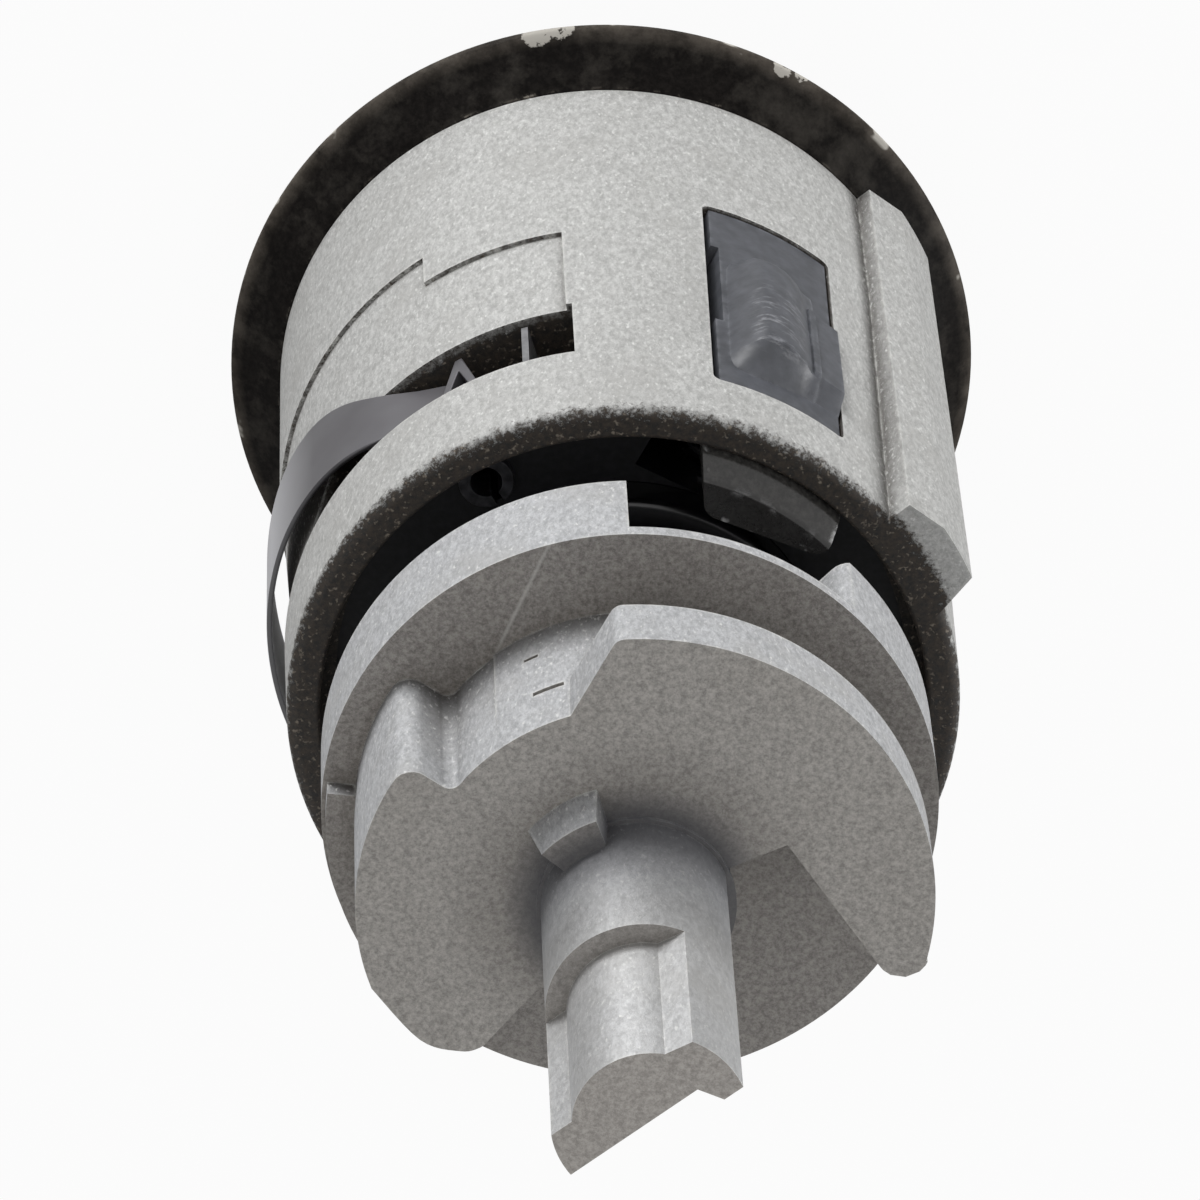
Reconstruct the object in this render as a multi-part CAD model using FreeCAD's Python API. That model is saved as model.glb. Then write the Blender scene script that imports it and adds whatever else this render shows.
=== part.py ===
import FreeCAD, Part
import math
import os
from FreeCAD import Vector

# Ignition lock cylinder, in millimetres. It stands on the flat ring of its bezel.
# The origin is the centre of that ring, and +Z runs along the key's axis to the drive tail.
# Angles are in degrees about +Z, counted from +X.

# Clearances
RUN_CLEARANCE = 0.05
SEAT_CLEARANCE = 0.03
SLIDE_CLEARANCE = 0.15

# How far a cutting shape reaches past the skin it cuts, and past its neighbour
CUT_MARGIN = 1.0
LAP_ANGLE = 1.0

# Sides of the wire in the small coils
WIRE_SIDES = 8

# Sleeve: the die-cast outer tube
SLEEVE_RADIUS = 17.35
SLEEVE_LENGTH = 37.4
SLEEVE_PARALLEL_LENGTH = 13.0
SLEEVE_DRAFT = 0.4
SLEEVE_WALL = 2.9
SLEEVE_END_ROUND = 0.5
NOSE_STEP = 1.35
MOUTH_WALL = 1.7
MOUTH_DEPTH = 4.0

# Bezel: the black cap over the front of the sleeve, tapered from its rim to its flat front
BEZEL_OVERHANG = 2.65
BEZEL_DEPTH = 8.0
BEZEL_RIM_HEIGHT = 5.3
BEZEL_RIM_BAND = 0.35
BEZEL_TAPER = 2.9
BEZEL_FRONT_ROUND = 1.6
BEZEL_DISH = 0.3
BEZEL_FACE_WALL = 3.0
BEZEL_LIP = 0.35
BEZEL_MOUTH_CHAMFER = 0.5

# Key rib along the sleeve
RIB_HEIGHT = 1.5
RIB_START = -156.5
RIB_END = -140.5
RIB_FOOT_ANGLE = -162.0
RIB_SLOPE = 0.65
RIB_SLOPE_ANGLE = -147.0
RIB_CORNER = 0.5
RIB_END_ROUND = 1.2

# Slot and shallow seat of the leaf spring, on both sides of its middle
LEAF_MIDDLE_ANGLE = 6.0
SLOT_FRONT = 25.4
SLOT_WIDTH = 5.4
SLOT_FAR_ANGLE = -81.5
SLOT_NEAR_ANGLE = -17.0
SLOT_TAPER_ANGLE = -33.0
SLOT_SKEW = 3.6
SEAT_DEPTH = 0.3
SEAT_FRONT = 14.2
SEAT_STEP = 2.9
SEAT_STEP_ANGLE = -55.0

# Leaf spring: a bowed steel band that ends in two tongues
LEAF_THICKNESS = 0.3
LEAF_BOW = ((0.0, 0.62), (24.0, 0.6), (42.0, 0.2), (54.0, -0.45), (64.0, -1.45))
LEAF_TONGUE_WIDTH = 4.6
LEAF_TONGUE_GAP = 0.25
LEAF_BODY_WIDTH = 6.8
LEAF_BODY_FRONT = 21.2
LEAF_SHOULDER_ANGLE = 53.0
LEAF_WAIST_ANGLE = 33.0
LEAF_WAIST_SHARE = 0.8
LEAF_WAIST_DIP = 0.3
LEAF_HOOK_RADIAL = 1.5
LEAF_HOOK_WIDTH = 2.6
LEAF_HOOK_SHEET = 0.4

# Blade that stands in the slot and stops the leaf's hook
BLADE_ANGLE = -72.6
BLADE_THICKNESS = 0.35
BLADE_STANDOUT = 2.05
BLADE_ROOT = 1.2
BLADE_INSET = 0.3

# Inner lock body
BODY_FRONT = 6.0
BODY_REAR_SETBACK = 5.4
CHANNEL_DEPTH = 1.2
BODY_PIN_RADIUS = 1.4
BODY_PIN_BORE = 0.8
BODY_PIN_INSET = 1.95
BODY_PIN_ANGLE = -56.4
BODY_PIN_LENGTH = 12.0
BODY_PIN_STANDOUT = 0.6
BODY_PIN_SLIT = 0.4

# Bush in the rear of the lock body
BUSH_SHARE = 0.706
BUSH_WALL = 1.6
BUSH_SEAT = 2.5
BUSH_STANDOUT = 2.2
BUSH_ROUND = 0.5

# Key plug
PLUG_SHARE = 0.4035
PLUG_HEAD_OVERHANG = 1.8
PLUG_FACE_INSET = 0.8
PLUG_REAR_LENGTH = 1.7
KEYWAY_WIDTH = 2.6
KEYWAY_HEIGHT = 9.2
KEYWAY_WARD = 0.55
KEYWAY_WARD_HEIGHT = 1.3
KEYWAY_RIGHT_WARD = 0.4
KEYWAY_LEFT_WARD = -0.9
KEYWAY_END = 33.0
TONGUE_INSET = 2.5
TONGUE_THICKNESS = 4.0
TONGUE_LENGTH = 7.5

# Face cap over the plug's head
FACE_THICKNESS = 0.35
FACE_ROUND = 0.28
FACE_SKIRT = 2.4
FACE_GAP = 0.25

# Wafer tumblers: one column, sprung to +Y and -Y in turn
WAFER_COUNT = 7
WAFER_FIRST = 12.0
WAFER_PITCH = 2.9
WAFER_THICKNESS = 0.8
WAFER_INSET = 0.6
WAFER_TRAVEL = 0.9
WAFER_WINDOW_WIDTH = 3.0
WAFER_WINDOW_HEIGHT = 7.4
WAFER_CUTS = (0.6, 0.2, 0.8, 0.4, 0.0, 0.6, 0.2)
LUG_REACH = 1.7
LUG_HEIGHT = 1.2
SPRING_BORE_RADIUS = 0.8
SPRING_SHARE = 0.514
SPRING_COIL_RADIUS = 0.55
SPRING_WIRE = 0.24
SPRING_TURNS = 5

# Shutter that closes the keyway behind the face cap
SHUTTER_THICKNESS = 0.6
SHUTTER_LENGTH = 10.0
SHUTTER_OVERLAP = 0.4
SHUTTER_SWING_ROOM = 4.9
SHUTTER_PIN_RADIUS = 0.4
SHUTTER_PIN_LENGTH = 12.4
SHUTTER_KNUCKLE_WALL = 0.35
SHUTTER_SPRING_LENGTH = 1.8
SHUTTER_SPRING_TURNS = 4

# Retaining latch in the right-hand window
LATCH_ANGLE = -117.5
LATCH_TRAVEL = 1.5
LATCH_PLATE_WIDTH = 9.0
LATCH_PLATE_THICKNESS = 2.5
LATCH_ARM_THICKNESS = 2.1
LATCH_FRONT = 11.9
LATCH_STANDOUT = 1.0
LATCH_BLOCK_CHAMFER = 1.3
WINDOW_FRONT = 13.1
WINDOW_LENGTH = 19.9
WINDOW_WIDTH = 7.45
WINDOW_CORNER = 0.5
WINDOW_GAP = 0.4
LATCH_FIELD_INSET = 0.15
BUMP_SECTION = ((3.2, -0.45), (2.4, 0.1), (1.5, 0.85), (0.3, 1.05), (-0.8, 0.75), (-1.6, 0.1))
BUMP_HEIGHT = 1.05
BUMP_FRONT_SETBACK = 2.4
BUMP_RAMP = 6.0
BUMP_REAR_SETBACK = 1.8
BUMP_ROUND = 1.4
SHELF_LEFT = -0.6
SHELF_HEIGHT = 0.35
SHELF_LENGTH = 8.7
SHELF_REAR_SETBACK = 2.8
ARM_RIGHT = -4.1
BLOCK_LEFT = 4.0
BLOCK_FOOT = 2.0
BLOCK_SLANT = 0.4
LATCH_SPRING_PLACE = 35.0
LATCH_SPRING_RADIUS = 1.5
LATCH_SPRING_WIRE = 0.4
LATCH_SPRING_TURNS = 5
LATCH_SPRING_SEAT = 1.2
LATCH_SPRING_POCKET = 1.5

# Retaining ring behind the lock body
CLIP_THICKNESS = 0.8
CLIP_INSET = 0.32
CLIP_GROOVE_DEPTH = 1.4
CLIP_OPENING = 5.0

# Actuator casting: neck, flange, two-level cam and drive tail
FLANGE_OVERHANG = 4.37
FLANGE_THICKNESS = 5.8
FLANGE_GAP = 4.6
FLANGE_CUT_START = -134.0
FLANGE_CUT_END = -89.0
FLANGE_CUT_INSET = 0.25
FLANGE_CUT_ROUND = 1.2
FLANGE_LIP = 0.8
PAD_HEIGHT = 1.2
PAD_START = -6.0
PAD_END = 46.0
PAD_INSET = 0.2
CAM_HEIGHT = 9.6
CAM_PLATE = 3.6
CORE_RADIUS = 10.85
PLATE_OVERHANG = 3.63
PLATE_TIP_ANGLE = -202.7
PLATE_TIP_ROUND = 1.3
PLATE_END_ANGLE = -85.4
PLATE_FOOT_ANGLE = -72.2
CORE_TIP_ANGLE = -189.4
CAM_ROUND = 0.8
GAP_CORNER_INSET = 2.9
GAP_CORNER_ANGLE = -155.6
GAP_SIDE_INSET = 4.15
GAP_SIDE_ANGLE = 44.8
LOBE_OVERHANG = 2.75
LOBE_ANGLE = -34.6
LOBE_BACK_ANGLE = 20.0
LOBE_HEEL_INSET = 0.75
LOBE_HEEL_ANGLE = 35.8
LOBE_END_INSET = 2.05
LOBE_END_ANGLE = 47.0
TAIL_RADIUS = 4.65
TAIL_LENGTH = 20.6
TAIL_FLAT_ANGLE = -51.8
TAIL_TOE_DEPTH = 1.2
TAIL_TOE_START = 2.75
TAIL_TOE_END = 3.4
TAIL_STEP = 10.2
TAIL_RECESS_RADIUS = 3.65
TAIL_RIB_LEFT = 61.0
TAIL_RECESS_LEFT = 52.0
TAIL_RECESS_RIGHT = -48.0
TAIL_RIB_RIGHT = -62.0
TAIL_ROOT_RADIUS = 4.9
TAIL_ROOT_HEIGHT = 0.3
STUD_INNER = 4.5
STUD_OUTER = 6.7
STUD_START = -73.0
STUD_END = -37.0
STUD_HEIGHT = 2.1
STUD_ROUND = 0.6
CROSS_PIN_RADIUS = 1.0
CROSS_PIN_PLACE = 4.0
CROSS_PIN_INSET = 0.3

# Radii of the sleeve and what follows them
SLEEVE_REAR_RADIUS = SLEEVE_RADIUS - SLEEVE_DRAFT
SLEEVE_BORE_RADIUS = SLEEVE_RADIUS - SLEEVE_WALL
NOSE_RADIUS = SLEEVE_RADIUS - NOSE_STEP
MOUTH_RADIUS = SLEEVE_REAR_RADIUS - MOUTH_WALL
RIB_RADIUS = SLEEVE_RADIUS + RIB_HEIGHT
BEZEL_RADIUS = SLEEVE_RADIUS + BEZEL_OVERHANG
BUMP_RADIUS = SLEEVE_RADIUS + BUMP_HEIGHT
SHELF_RADIUS = SLEEVE_RADIUS + SHELF_HEIGHT
BODY_PIN_CIRCLE = SLEEVE_BORE_RADIUS - BODY_PIN_INSET
BUSH_RADIUS = BUSH_SHARE * SLEEVE_BORE_RADIUS
NECK_RADIUS = BUSH_RADIUS - SEAT_CLEARANCE - BUSH_WALL - RUN_CLEARANCE

# The plug's radius and what follows it
PLUG_RADIUS = PLUG_SHARE * SLEEVE_RADIUS
PLUG_HEAD_RADIUS = PLUG_RADIUS + PLUG_HEAD_OVERHANG
TONGUE_WIDTH = 2 * (PLUG_RADIUS - TONGUE_INSET)
WAFER_WIDTH = PLUG_RADIUS - WAFER_INSET
SPRING_LENGTH = SPRING_SHARE * PLUG_RADIUS
CLIP_RADIUS = NECK_RADIUS - CLIP_INSET
CLIP_GROOVE_RADIUS = PLUG_RADIUS - CLIP_GROOVE_DEPTH
LATCH_SPRING_FLOOR = PLUG_RADIUS + LATCH_SPRING_SEAT

# The cam's core and what follows it
FLANGE_RADIUS = CORE_RADIUS + FLANGE_OVERHANG
FLANGE_CUT_RADIUS = CORE_RADIUS - FLANGE_CUT_INSET
PLATE_RADIUS = CORE_RADIUS + PLATE_OVERHANG
GAP_CORNER_RADIUS = CORE_RADIUS - GAP_CORNER_INSET
GAP_SIDE_RADIUS = CORE_RADIUS - GAP_SIDE_INSET
LOBE_RADIUS = CORE_RADIUS + LOBE_OVERHANG
LOBE_HEEL_RADIUS = LOBE_RADIUS - LOBE_HEEL_INSET
LOBE_END_RADIUS = LOBE_RADIUS - LOBE_END_INSET

# Places along the axis that several pieces share
SLEEVE_REAR = BEZEL_DEPTH + SLEEVE_LENGTH
BODY_REAR = SLEEVE_REAR - BODY_REAR_SETBACK
BODY_RADIUS = SLEEVE_BORE_RADIUS - SEAT_CLEARANCE
BODY_BORE = PLUG_RADIUS + RUN_CLEARANCE
CLIP_FACE = BODY_REAR - BUSH_SEAT
PLUG_END = CLIP_FACE + PLUG_REAR_LENGTH
NECK_FRONT = PLUG_END + RUN_CLEARANCE
FLANGE_FRONT = SLEEVE_REAR + FLANGE_GAP
FLANGE_REAR = FLANGE_FRONT + FLANGE_THICKNESS
CAM_REAR = FLANGE_REAR + CAM_HEIGHT
SLOT_REAR = SLOT_FRONT + SLOT_WIDTH
WINDOW_REAR = BEZEL_DEPTH + WINDOW_FRONT + WINDOW_LENGTH
FACE_RADIUS = PLUG_HEAD_RADIUS + SEAT_CLEARANCE + FACE_THICKNESS
HINGE_X = KEYWAY_WIDTH / 2 + SHUTTER_OVERLAP + SHUTTER_PIN_RADIUS + RUN_CLEARANCE
HINGE_Z = PLUG_FACE_INSET + SEAT_CLEARANCE + SHUTTER_PIN_RADIUS + SHUTTER_KNUCKLE_WALL + RUN_CLEARANCE
WAFER_SLOT = WAFER_THICKNESS + 2 * RUN_CLEARANCE
LUG_X = WAFER_WIDTH / 2 + LUG_REACH / 2


def polar(radius, angle, height=0.0):
    """Point at a radius and an angle about the axis."""
    turn = math.radians(angle)
    return Vector(radius * math.cos(turn), radius * math.sin(turn), height)


def line(start, end):
    return Part.LineSegment(start, end).toShape()


def arc(radius, start, end, height=0.0):
    """Arc about the axis from one angle to another."""
    middle = polar(radius, (start + end) / 2, height)
    return Part.Arc(polar(radius, start, height), middle, polar(radius, end, height)).toShape()


def disc(radius, low, high):
    return Part.makeCylinder(radius, high - low, Vector(0, 0, low))


def ring(outer, inner, low, high):
    return disc(outer, low, high).cut(disc(inner, low, high))


def sector(inner, outer, start, end, low, high):
    """Block between two radii and two angles."""
    edges = [
        arc(outer, start, end, low),
        line(polar(outer, end, low), polar(inner, end, low)),
        arc(inner, end, start, low),
        line(polar(inner, start, low), polar(outer, start, low)),
    ]
    return Part.Face(Part.Wire(edges)).extrude(Vector(0, 0, high - low))


def block(x_low, x_high, y_low, y_high, z_low, z_high):
    size = (x_high - x_low, y_high - y_low, z_high - z_low)
    return Part.makeBox(*size, Vector(x_low, y_low, z_low))


def revolved(outline):
    """Solid turned about the axis from (radius, height) points."""
    points = [Vector(radius, 0, height) for radius, height in outline]
    wire = Part.makePolygon(points + points[:1])
    return Part.Face(wire).revolve(Vector(0, 0, 0), Vector(0, 0, 1), 360)


def prism(points, height):
    """Flat outline extruded along +Z from the points' own height."""
    wire = Part.makePolygon(points + points[:1])
    return Part.Face(wire).extrude(Vector(0, 0, height))


def turned(shape, angle):
    """Copy of a shape turned about the axis."""
    copy = shape.copy()
    copy.rotate(Vector(0, 0, 0), Vector(0, 0, 1), angle)
    return copy


def upright_edges(shape, radius, angle=None):
    """Straight edges along the axis: those beyond a radius, or the one at a radius and an angle."""
    chosen = []
    for edge in shape.Edges:
        box = edge.BoundBox
        if box.XLength > 1e-6 or box.YLength > 1e-6:
            continue
        place = Vector(box.Center.x, box.Center.y, 0)
        if angle is None and place.Length > radius:
            chosen.append(edge)
        if angle is not None and place.distanceToPoint(polar(radius, angle)) < 0.05:
            chosen.append(edge)
    return chosen


def level_edges(shape, height):
    """Edges that lie flat at one height."""
    chosen = []
    for edge in shape.Edges:
        box = edge.BoundBox
        if abs(box.ZMin - height) < 1e-6 and abs(box.ZMax - height) < 1e-6:
            chosen.append(edge)
    return chosen


def wide_edges(shape, height, radius):
    """Flat edges at one height that reach out to a radius."""
    return [edge for edge in level_edges(shape, height) if edge.BoundBox.XMax > radius - 0.01]


def coil(radius, wire, length, turns):
    """Coil of near-round wire along +Z from the origin."""
    helix = Part.makeHelix((length - wire) / turns, length - wire, radius)
    helix.translate(Vector(0, 0, wire / 2))
    points = []
    for side in range(WIRE_SIDES):
        around = math.radians(360 * (side + 0.5) / WIRE_SIDES)
        reach = wire / 2
        points.append(Vector(radius + reach * math.cos(around), 0, reach * (1 + math.sin(around))))
    section = Part.makePolygon(points + points[:1])
    return Part.Wire(helix).makePipeShell([section], True, True)


def bezel_cap():
    """Turned cap: flat front ring, tapered rim and a dished back down to the sleeve."""
    mouth = FACE_RADIUS + FACE_GAP
    corner = BEZEL_RADIUS - BEZEL_TAPER
    band = BEZEL_RIM_HEIGHT - BEZEL_LIP
    lip = Vector(BEZEL_RADIUS - BEZEL_LIP, 0, BEZEL_RIM_HEIGHT)
    foot = Vector(SLEEVE_RADIUS, 0, BEZEL_DEPTH)
    slope = (foot - lip).normalize()
    dish = (lip + foot) * 0.5 + Vector(-slope.z, 0, slope.x) * BEZEL_DISH
    front = [
        Vector(NOSE_RADIUS, 0, BEZEL_FACE_WALL),
        Vector(mouth, 0, BEZEL_FACE_WALL),
        Vector(mouth, 0, BEZEL_MOUTH_CHAMFER),
        Vector(mouth + BEZEL_MOUTH_CHAMFER, 0, 0),
        Vector(corner, 0, 0),
        Vector(BEZEL_RADIUS, 0, band - BEZEL_RIM_BAND),
        Vector(BEZEL_RADIUS, 0, band),
        lip,
    ]
    edges = [line(start, end) for start, end in zip(front, front[1:])]
    edges.append(Part.Arc(lip, dish, foot).toShape())
    edges.append(line(foot, Vector(NOSE_RADIUS, 0, BEZEL_DEPTH)))
    edges.append(line(Vector(NOSE_RADIUS, 0, BEZEL_DEPTH), front[0]))
    cap = Part.Face(Part.Wire(edges)).revolve(Vector(0, 0, 0), Vector(0, 0, 1), 360)
    return cap.makeFillet(BEZEL_FRONT_ROUND, wide_edges(cap, 0, corner))


def end_rounding(radius, size, low):
    """Bar whose rear edge is rounded, to trim pieces that end at the sleeve's rear."""
    bar = disc(radius, low, SLEEVE_REAR)
    return bar.makeFillet(size, level_edges(bar, SLEEVE_REAR))


def sleeve_tube():
    """Sleeve before its rib and openings."""
    draft_start = BEZEL_DEPTH + SLEEVE_PARALLEL_LENGTH
    nose = NOSE_RADIUS - SEAT_CLEARANCE
    tube = revolved([
        (SLEEVE_BORE_RADIUS, BEZEL_FACE_WALL),
        (nose, BEZEL_FACE_WALL),
        (nose, BEZEL_DEPTH),
        (SLEEVE_RADIUS, BEZEL_DEPTH),
        (SLEEVE_RADIUS, draft_start),
        (SLEEVE_REAR_RADIUS, SLEEVE_REAR),
        (MOUTH_RADIUS, SLEEVE_REAR),
        (MOUTH_RADIUS, SLEEVE_REAR - MOUTH_DEPTH),
        (SLEEVE_BORE_RADIUS, SLEEVE_REAR - MOUTH_DEPTH),
    ])
    return tube.makeFillet(SLEEVE_END_ROUND, wide_edges(tube, SLEEVE_REAR, SLEEVE_REAR_RADIUS))


def key_rib():
    """Rib beside the latch window: a steep wall on one side, a sloped foot on the other."""
    root = (MOUTH_RADIUS + SLEEVE_REAR_RADIUS) / 2
    wall = [
        polar(root, RIB_END, BEZEL_DEPTH), polar(RIB_RADIUS - RIB_SLOPE, RIB_END, BEZEL_DEPTH),
        polar(RIB_RADIUS, RIB_SLOPE_ANGLE, BEZEL_DEPTH),
    ]
    edges = [line(start, end) for start, end in zip(wall, wall[1:])]
    edges += [
        arc(RIB_RADIUS, RIB_SLOPE_ANGLE, RIB_START, BEZEL_DEPTH),
        line(polar(RIB_RADIUS, RIB_START, BEZEL_DEPTH), polar(root, RIB_FOOT_ANGLE, BEZEL_DEPTH)),
        arc(root, RIB_FOOT_ANGLE, RIB_END, BEZEL_DEPTH),
    ]
    rib = Part.Face(Part.Wire(edges)).extrude(Vector(0, 0, SLEEVE_LENGTH))
    corners = upright_edges(rib, RIB_RADIUS - RIB_SLOPE, RIB_END)
    corners += upright_edges(rib, RIB_RADIUS, RIB_START)
    rib = rib.makeFillet(RIB_CORNER, corners)
    return rib.common(end_rounding(RIB_RADIUS, RIB_END_ROUND, BEZEL_DEPTH))


def leaf_mirror(angle):
    """Angle on the other side of the leaf's middle."""
    return 2 * LEAF_MIDDLE_ANGLE - angle


def leaf_slots():
    """Slot on each side that a tongue of the leaf enters, and the shallow seat between them."""
    low = BEZEL_DEPTH + SLOT_FRONT
    high = BEZEL_DEPTH + SLOT_REAR
    inner = SLEEVE_BORE_RADIUS - CUT_MARGIN
    outer = SLEEVE_RADIUS + CUT_MARGIN
    straight = sector(inner, outer, SLOT_FAR_ANGLE, SLOT_TAPER_ANGLE, low, high)
    rings = []
    for radius in (outer, inner):
        ring_points = [
            polar(radius, SLOT_TAPER_ANGLE - LAP_ANGLE, low),
            polar(radius, SLOT_TAPER_ANGLE, low),
            polar(radius, SLOT_NEAR_ANGLE, high),
            polar(radius, SLOT_TAPER_ANGLE - LAP_ANGLE, high),
        ]
        rings.append(Part.makePolygon(ring_points + ring_points[:1]))
    run_out = Part.makeLoft(rings, True, True)
    far_start = leaf_mirror(SLOT_TAPER_ANGLE)
    far_end = leaf_mirror(SLOT_FAR_ANGLE)
    far_slot = sector(inner, outer, far_start, far_end, low - SLOT_SKEW, high - SLOT_SKEW)
    return straight.fuse(run_out), far_slot


def leaf_seat():
    """Shallow recess in the sleeve's skin under the leaf."""
    floor = SLEEVE_REAR_RADIUS + SLEEVE_DRAFT / 3 - SEAT_DEPTH
    outer = SLEEVE_RADIUS + CUT_MARGIN
    low = BEZEL_DEPTH + SEAT_FRONT
    high = BEZEL_DEPTH + SLOT_REAR
    main = sector(floor, outer, SEAT_STEP_ANGLE, leaf_mirror(SEAT_STEP_ANGLE), low, high)
    side_start = SLOT_FAR_ANGLE + LAP_ANGLE
    side_end = SEAT_STEP_ANGLE + LAP_ANGLE
    side = sector(floor, outer, side_start, side_end, low + SEAT_STEP, high)
    return main.fuse(side)


def latch_window():
    """Opening for the latch, in the latch's own direction along +X."""
    half = WINDOW_WIDTH / 2
    low = BEZEL_DEPTH + WINDOW_FRONT
    inner = SLEEVE_BORE_RADIUS - WINDOW_WIDTH / 4
    opening = block(inner, RIB_RADIUS, -half, half, low, low + WINDOW_LENGTH)
    corners = [edge for edge in opening.Edges if edge.BoundBox.XLength > 1]
    return opening.makeFillet(WINDOW_CORNER, corners)


def lock_sleeve():
    """Die-cast sleeve with its key rib, latch window, leaf slots and shallow seat."""
    near_slot, far_slot = leaf_slots()
    shell = sleeve_tube().fuse(key_rib())
    shell = shell.cut(leaf_seat())
    shell = shell.cut(near_slot).cut(far_slot)
    shell = shell.cut(turned(latch_window(), LATCH_ANGLE))
    return shell.removeSplitter()


def leaf_strip():
    """Band of the leaf before its outline is cut."""
    low = BEZEL_DEPTH + SLOT_FRONT - LEAF_BODY_WIDTH - SLOT_SKEW
    sides = []
    for thickness in (0, LEAF_THICKNESS):
        half = [(angle, SLEEVE_RADIUS + rise - thickness) for angle, rise in LEAF_BOW]
        whole = [(-angle, radius) for angle, radius in half[:0:-1]] + half
        side = Part.BSplineCurve()
        side.interpolate([polar(radius, angle + LEAF_MIDDLE_ANGLE, low) for angle, radius in whole])
        sides.append(side)
    outside, inside = sides
    edges = [
        outside.toShape(),
        line(outside.EndPoint, inside.EndPoint),
        inside.toShape(),
        line(inside.StartPoint, outside.StartPoint),
    ]
    reach = SLOT_WIDTH + LEAF_BODY_WIDTH + 2 * SLOT_SKEW
    return Part.Face(Part.Wire(edges)).extrude(Vector(0, 0, reach))


def smooth_edge(points):
    """Curve through points."""
    curve = Part.BSplineCurve()
    curve.interpolate(points)
    return curve.toShape()


def leaf_outline():
    """Side outline of the leaf seen along its middle: a wide body and two narrow tongues."""
    near_rear = BEZEL_DEPTH + SLOT_REAR - LEAF_TONGUE_GAP
    near_front = near_rear - LEAF_TONGUE_WIDTH
    far_front = near_front - SLOT_SKEW
    far_rear = near_rear - SLOT_SKEW
    middle_front = BEZEL_DEPTH + LEAF_BODY_FRONT
    middle_rear = middle_front + LEAF_BODY_WIDTH
    reach = RIB_RADIUS
    shoulder = SLEEVE_RADIUS * math.sin(math.radians(LEAF_SHOULDER_ANGLE))
    waist = SLEEVE_RADIUS * math.sin(math.radians(LEAF_WAIST_ANGLE))
    share = LEAF_WAIST_SHARE
    front = smooth_edge([
        Vector(0, -shoulder, near_front),
        Vector(0, -waist, near_front + share * (middle_front - near_front)),
        Vector(0, 0, middle_front),
        Vector(0, waist, far_front + share * (middle_front - far_front)),
        Vector(0, shoulder, far_front),
    ])
    rear = smooth_edge([
        Vector(0, shoulder, far_rear),
        Vector(0, waist, (far_rear + middle_rear) / 2 - LEAF_WAIST_DIP),
        Vector(0, 0, middle_rear),
        Vector(0, -waist, (near_rear + middle_rear) / 2),
        Vector(0, -shoulder, near_rear),
    ])
    far_end = [
        Vector(0, shoulder, far_front), Vector(0, reach, far_front),
        Vector(0, reach, far_rear), Vector(0, shoulder, far_rear),
    ]
    near_end = [
        Vector(0, -shoulder, near_rear), Vector(0, -reach, near_rear),
        Vector(0, -reach, near_front), Vector(0, -shoulder, near_front),
    ]
    edges = [front]
    edges += [line(start, end) for start, end in zip(far_end, far_end[1:])]
    edges.append(rear)
    edges += [line(start, end) for start, end in zip(near_end, near_end[1:])]
    face = Part.Face(Part.Wire(edges))
    return turned(face.extrude(Vector(reach, 0, 0)), LEAF_MIDDLE_ANGLE)


def leaf_hook():
    """Folded end of the leaf's tongue: a small vee that stands in the slot."""
    tip_angle, tip_rise = LEAF_BOW[-1]
    rear = BEZEL_DEPTH + SLOT_REAR - LEAF_TONGUE_GAP
    tip = rear - LEAF_TONGUE_WIDTH
    half = LEAF_HOOK_WIDTH / 2
    sheet = LEAF_HOOK_SHEET
    points = [
        (half, rear), (half - sheet, rear), (0, tip + 3 * sheet), (sheet - half, rear),
        (-half, rear), (-sheet / 2, tip), (sheet / 2, tip),
    ]
    inner = SLEEVE_RADIUS + tip_rise - LEAF_HOOK_RADIAL
    outline = [Vector(inner, offset, height) for offset, height in points]
    wire = Part.makePolygon(outline + outline[:1])
    vee = Part.Face(wire).extrude(Vector(LEAF_HOOK_RADIAL, 0, 0))
    return turned(vee, LEAF_MIDDLE_ANGLE - tip_angle)


def leaf_spring():
    """Bowed steel leaf with a folded hook at the visible end."""
    band = leaf_strip().common(leaf_outline())
    return band.fuse(leaf_hook()).removeSplitter()


def blade(root, standout):
    """Block of the blade's shape between two depths from the lock body's skin."""
    low = BEZEL_DEPTH + SLOT_FRONT + BLADE_INSET
    high = BEZEL_DEPTH + SLOT_REAR - BLADE_INSET
    half = BLADE_THICKNESS / 2
    plate = block(BODY_RADIUS - root, BODY_RADIUS + standout, -half, half, low, high)
    return turned(plate, BLADE_ANGLE)


def slot_blade():
    """Thin blade that stands on edge in the slot, rooted in the lock body."""
    return blade(BLADE_ROOT, BLADE_STANDOUT)


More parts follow.
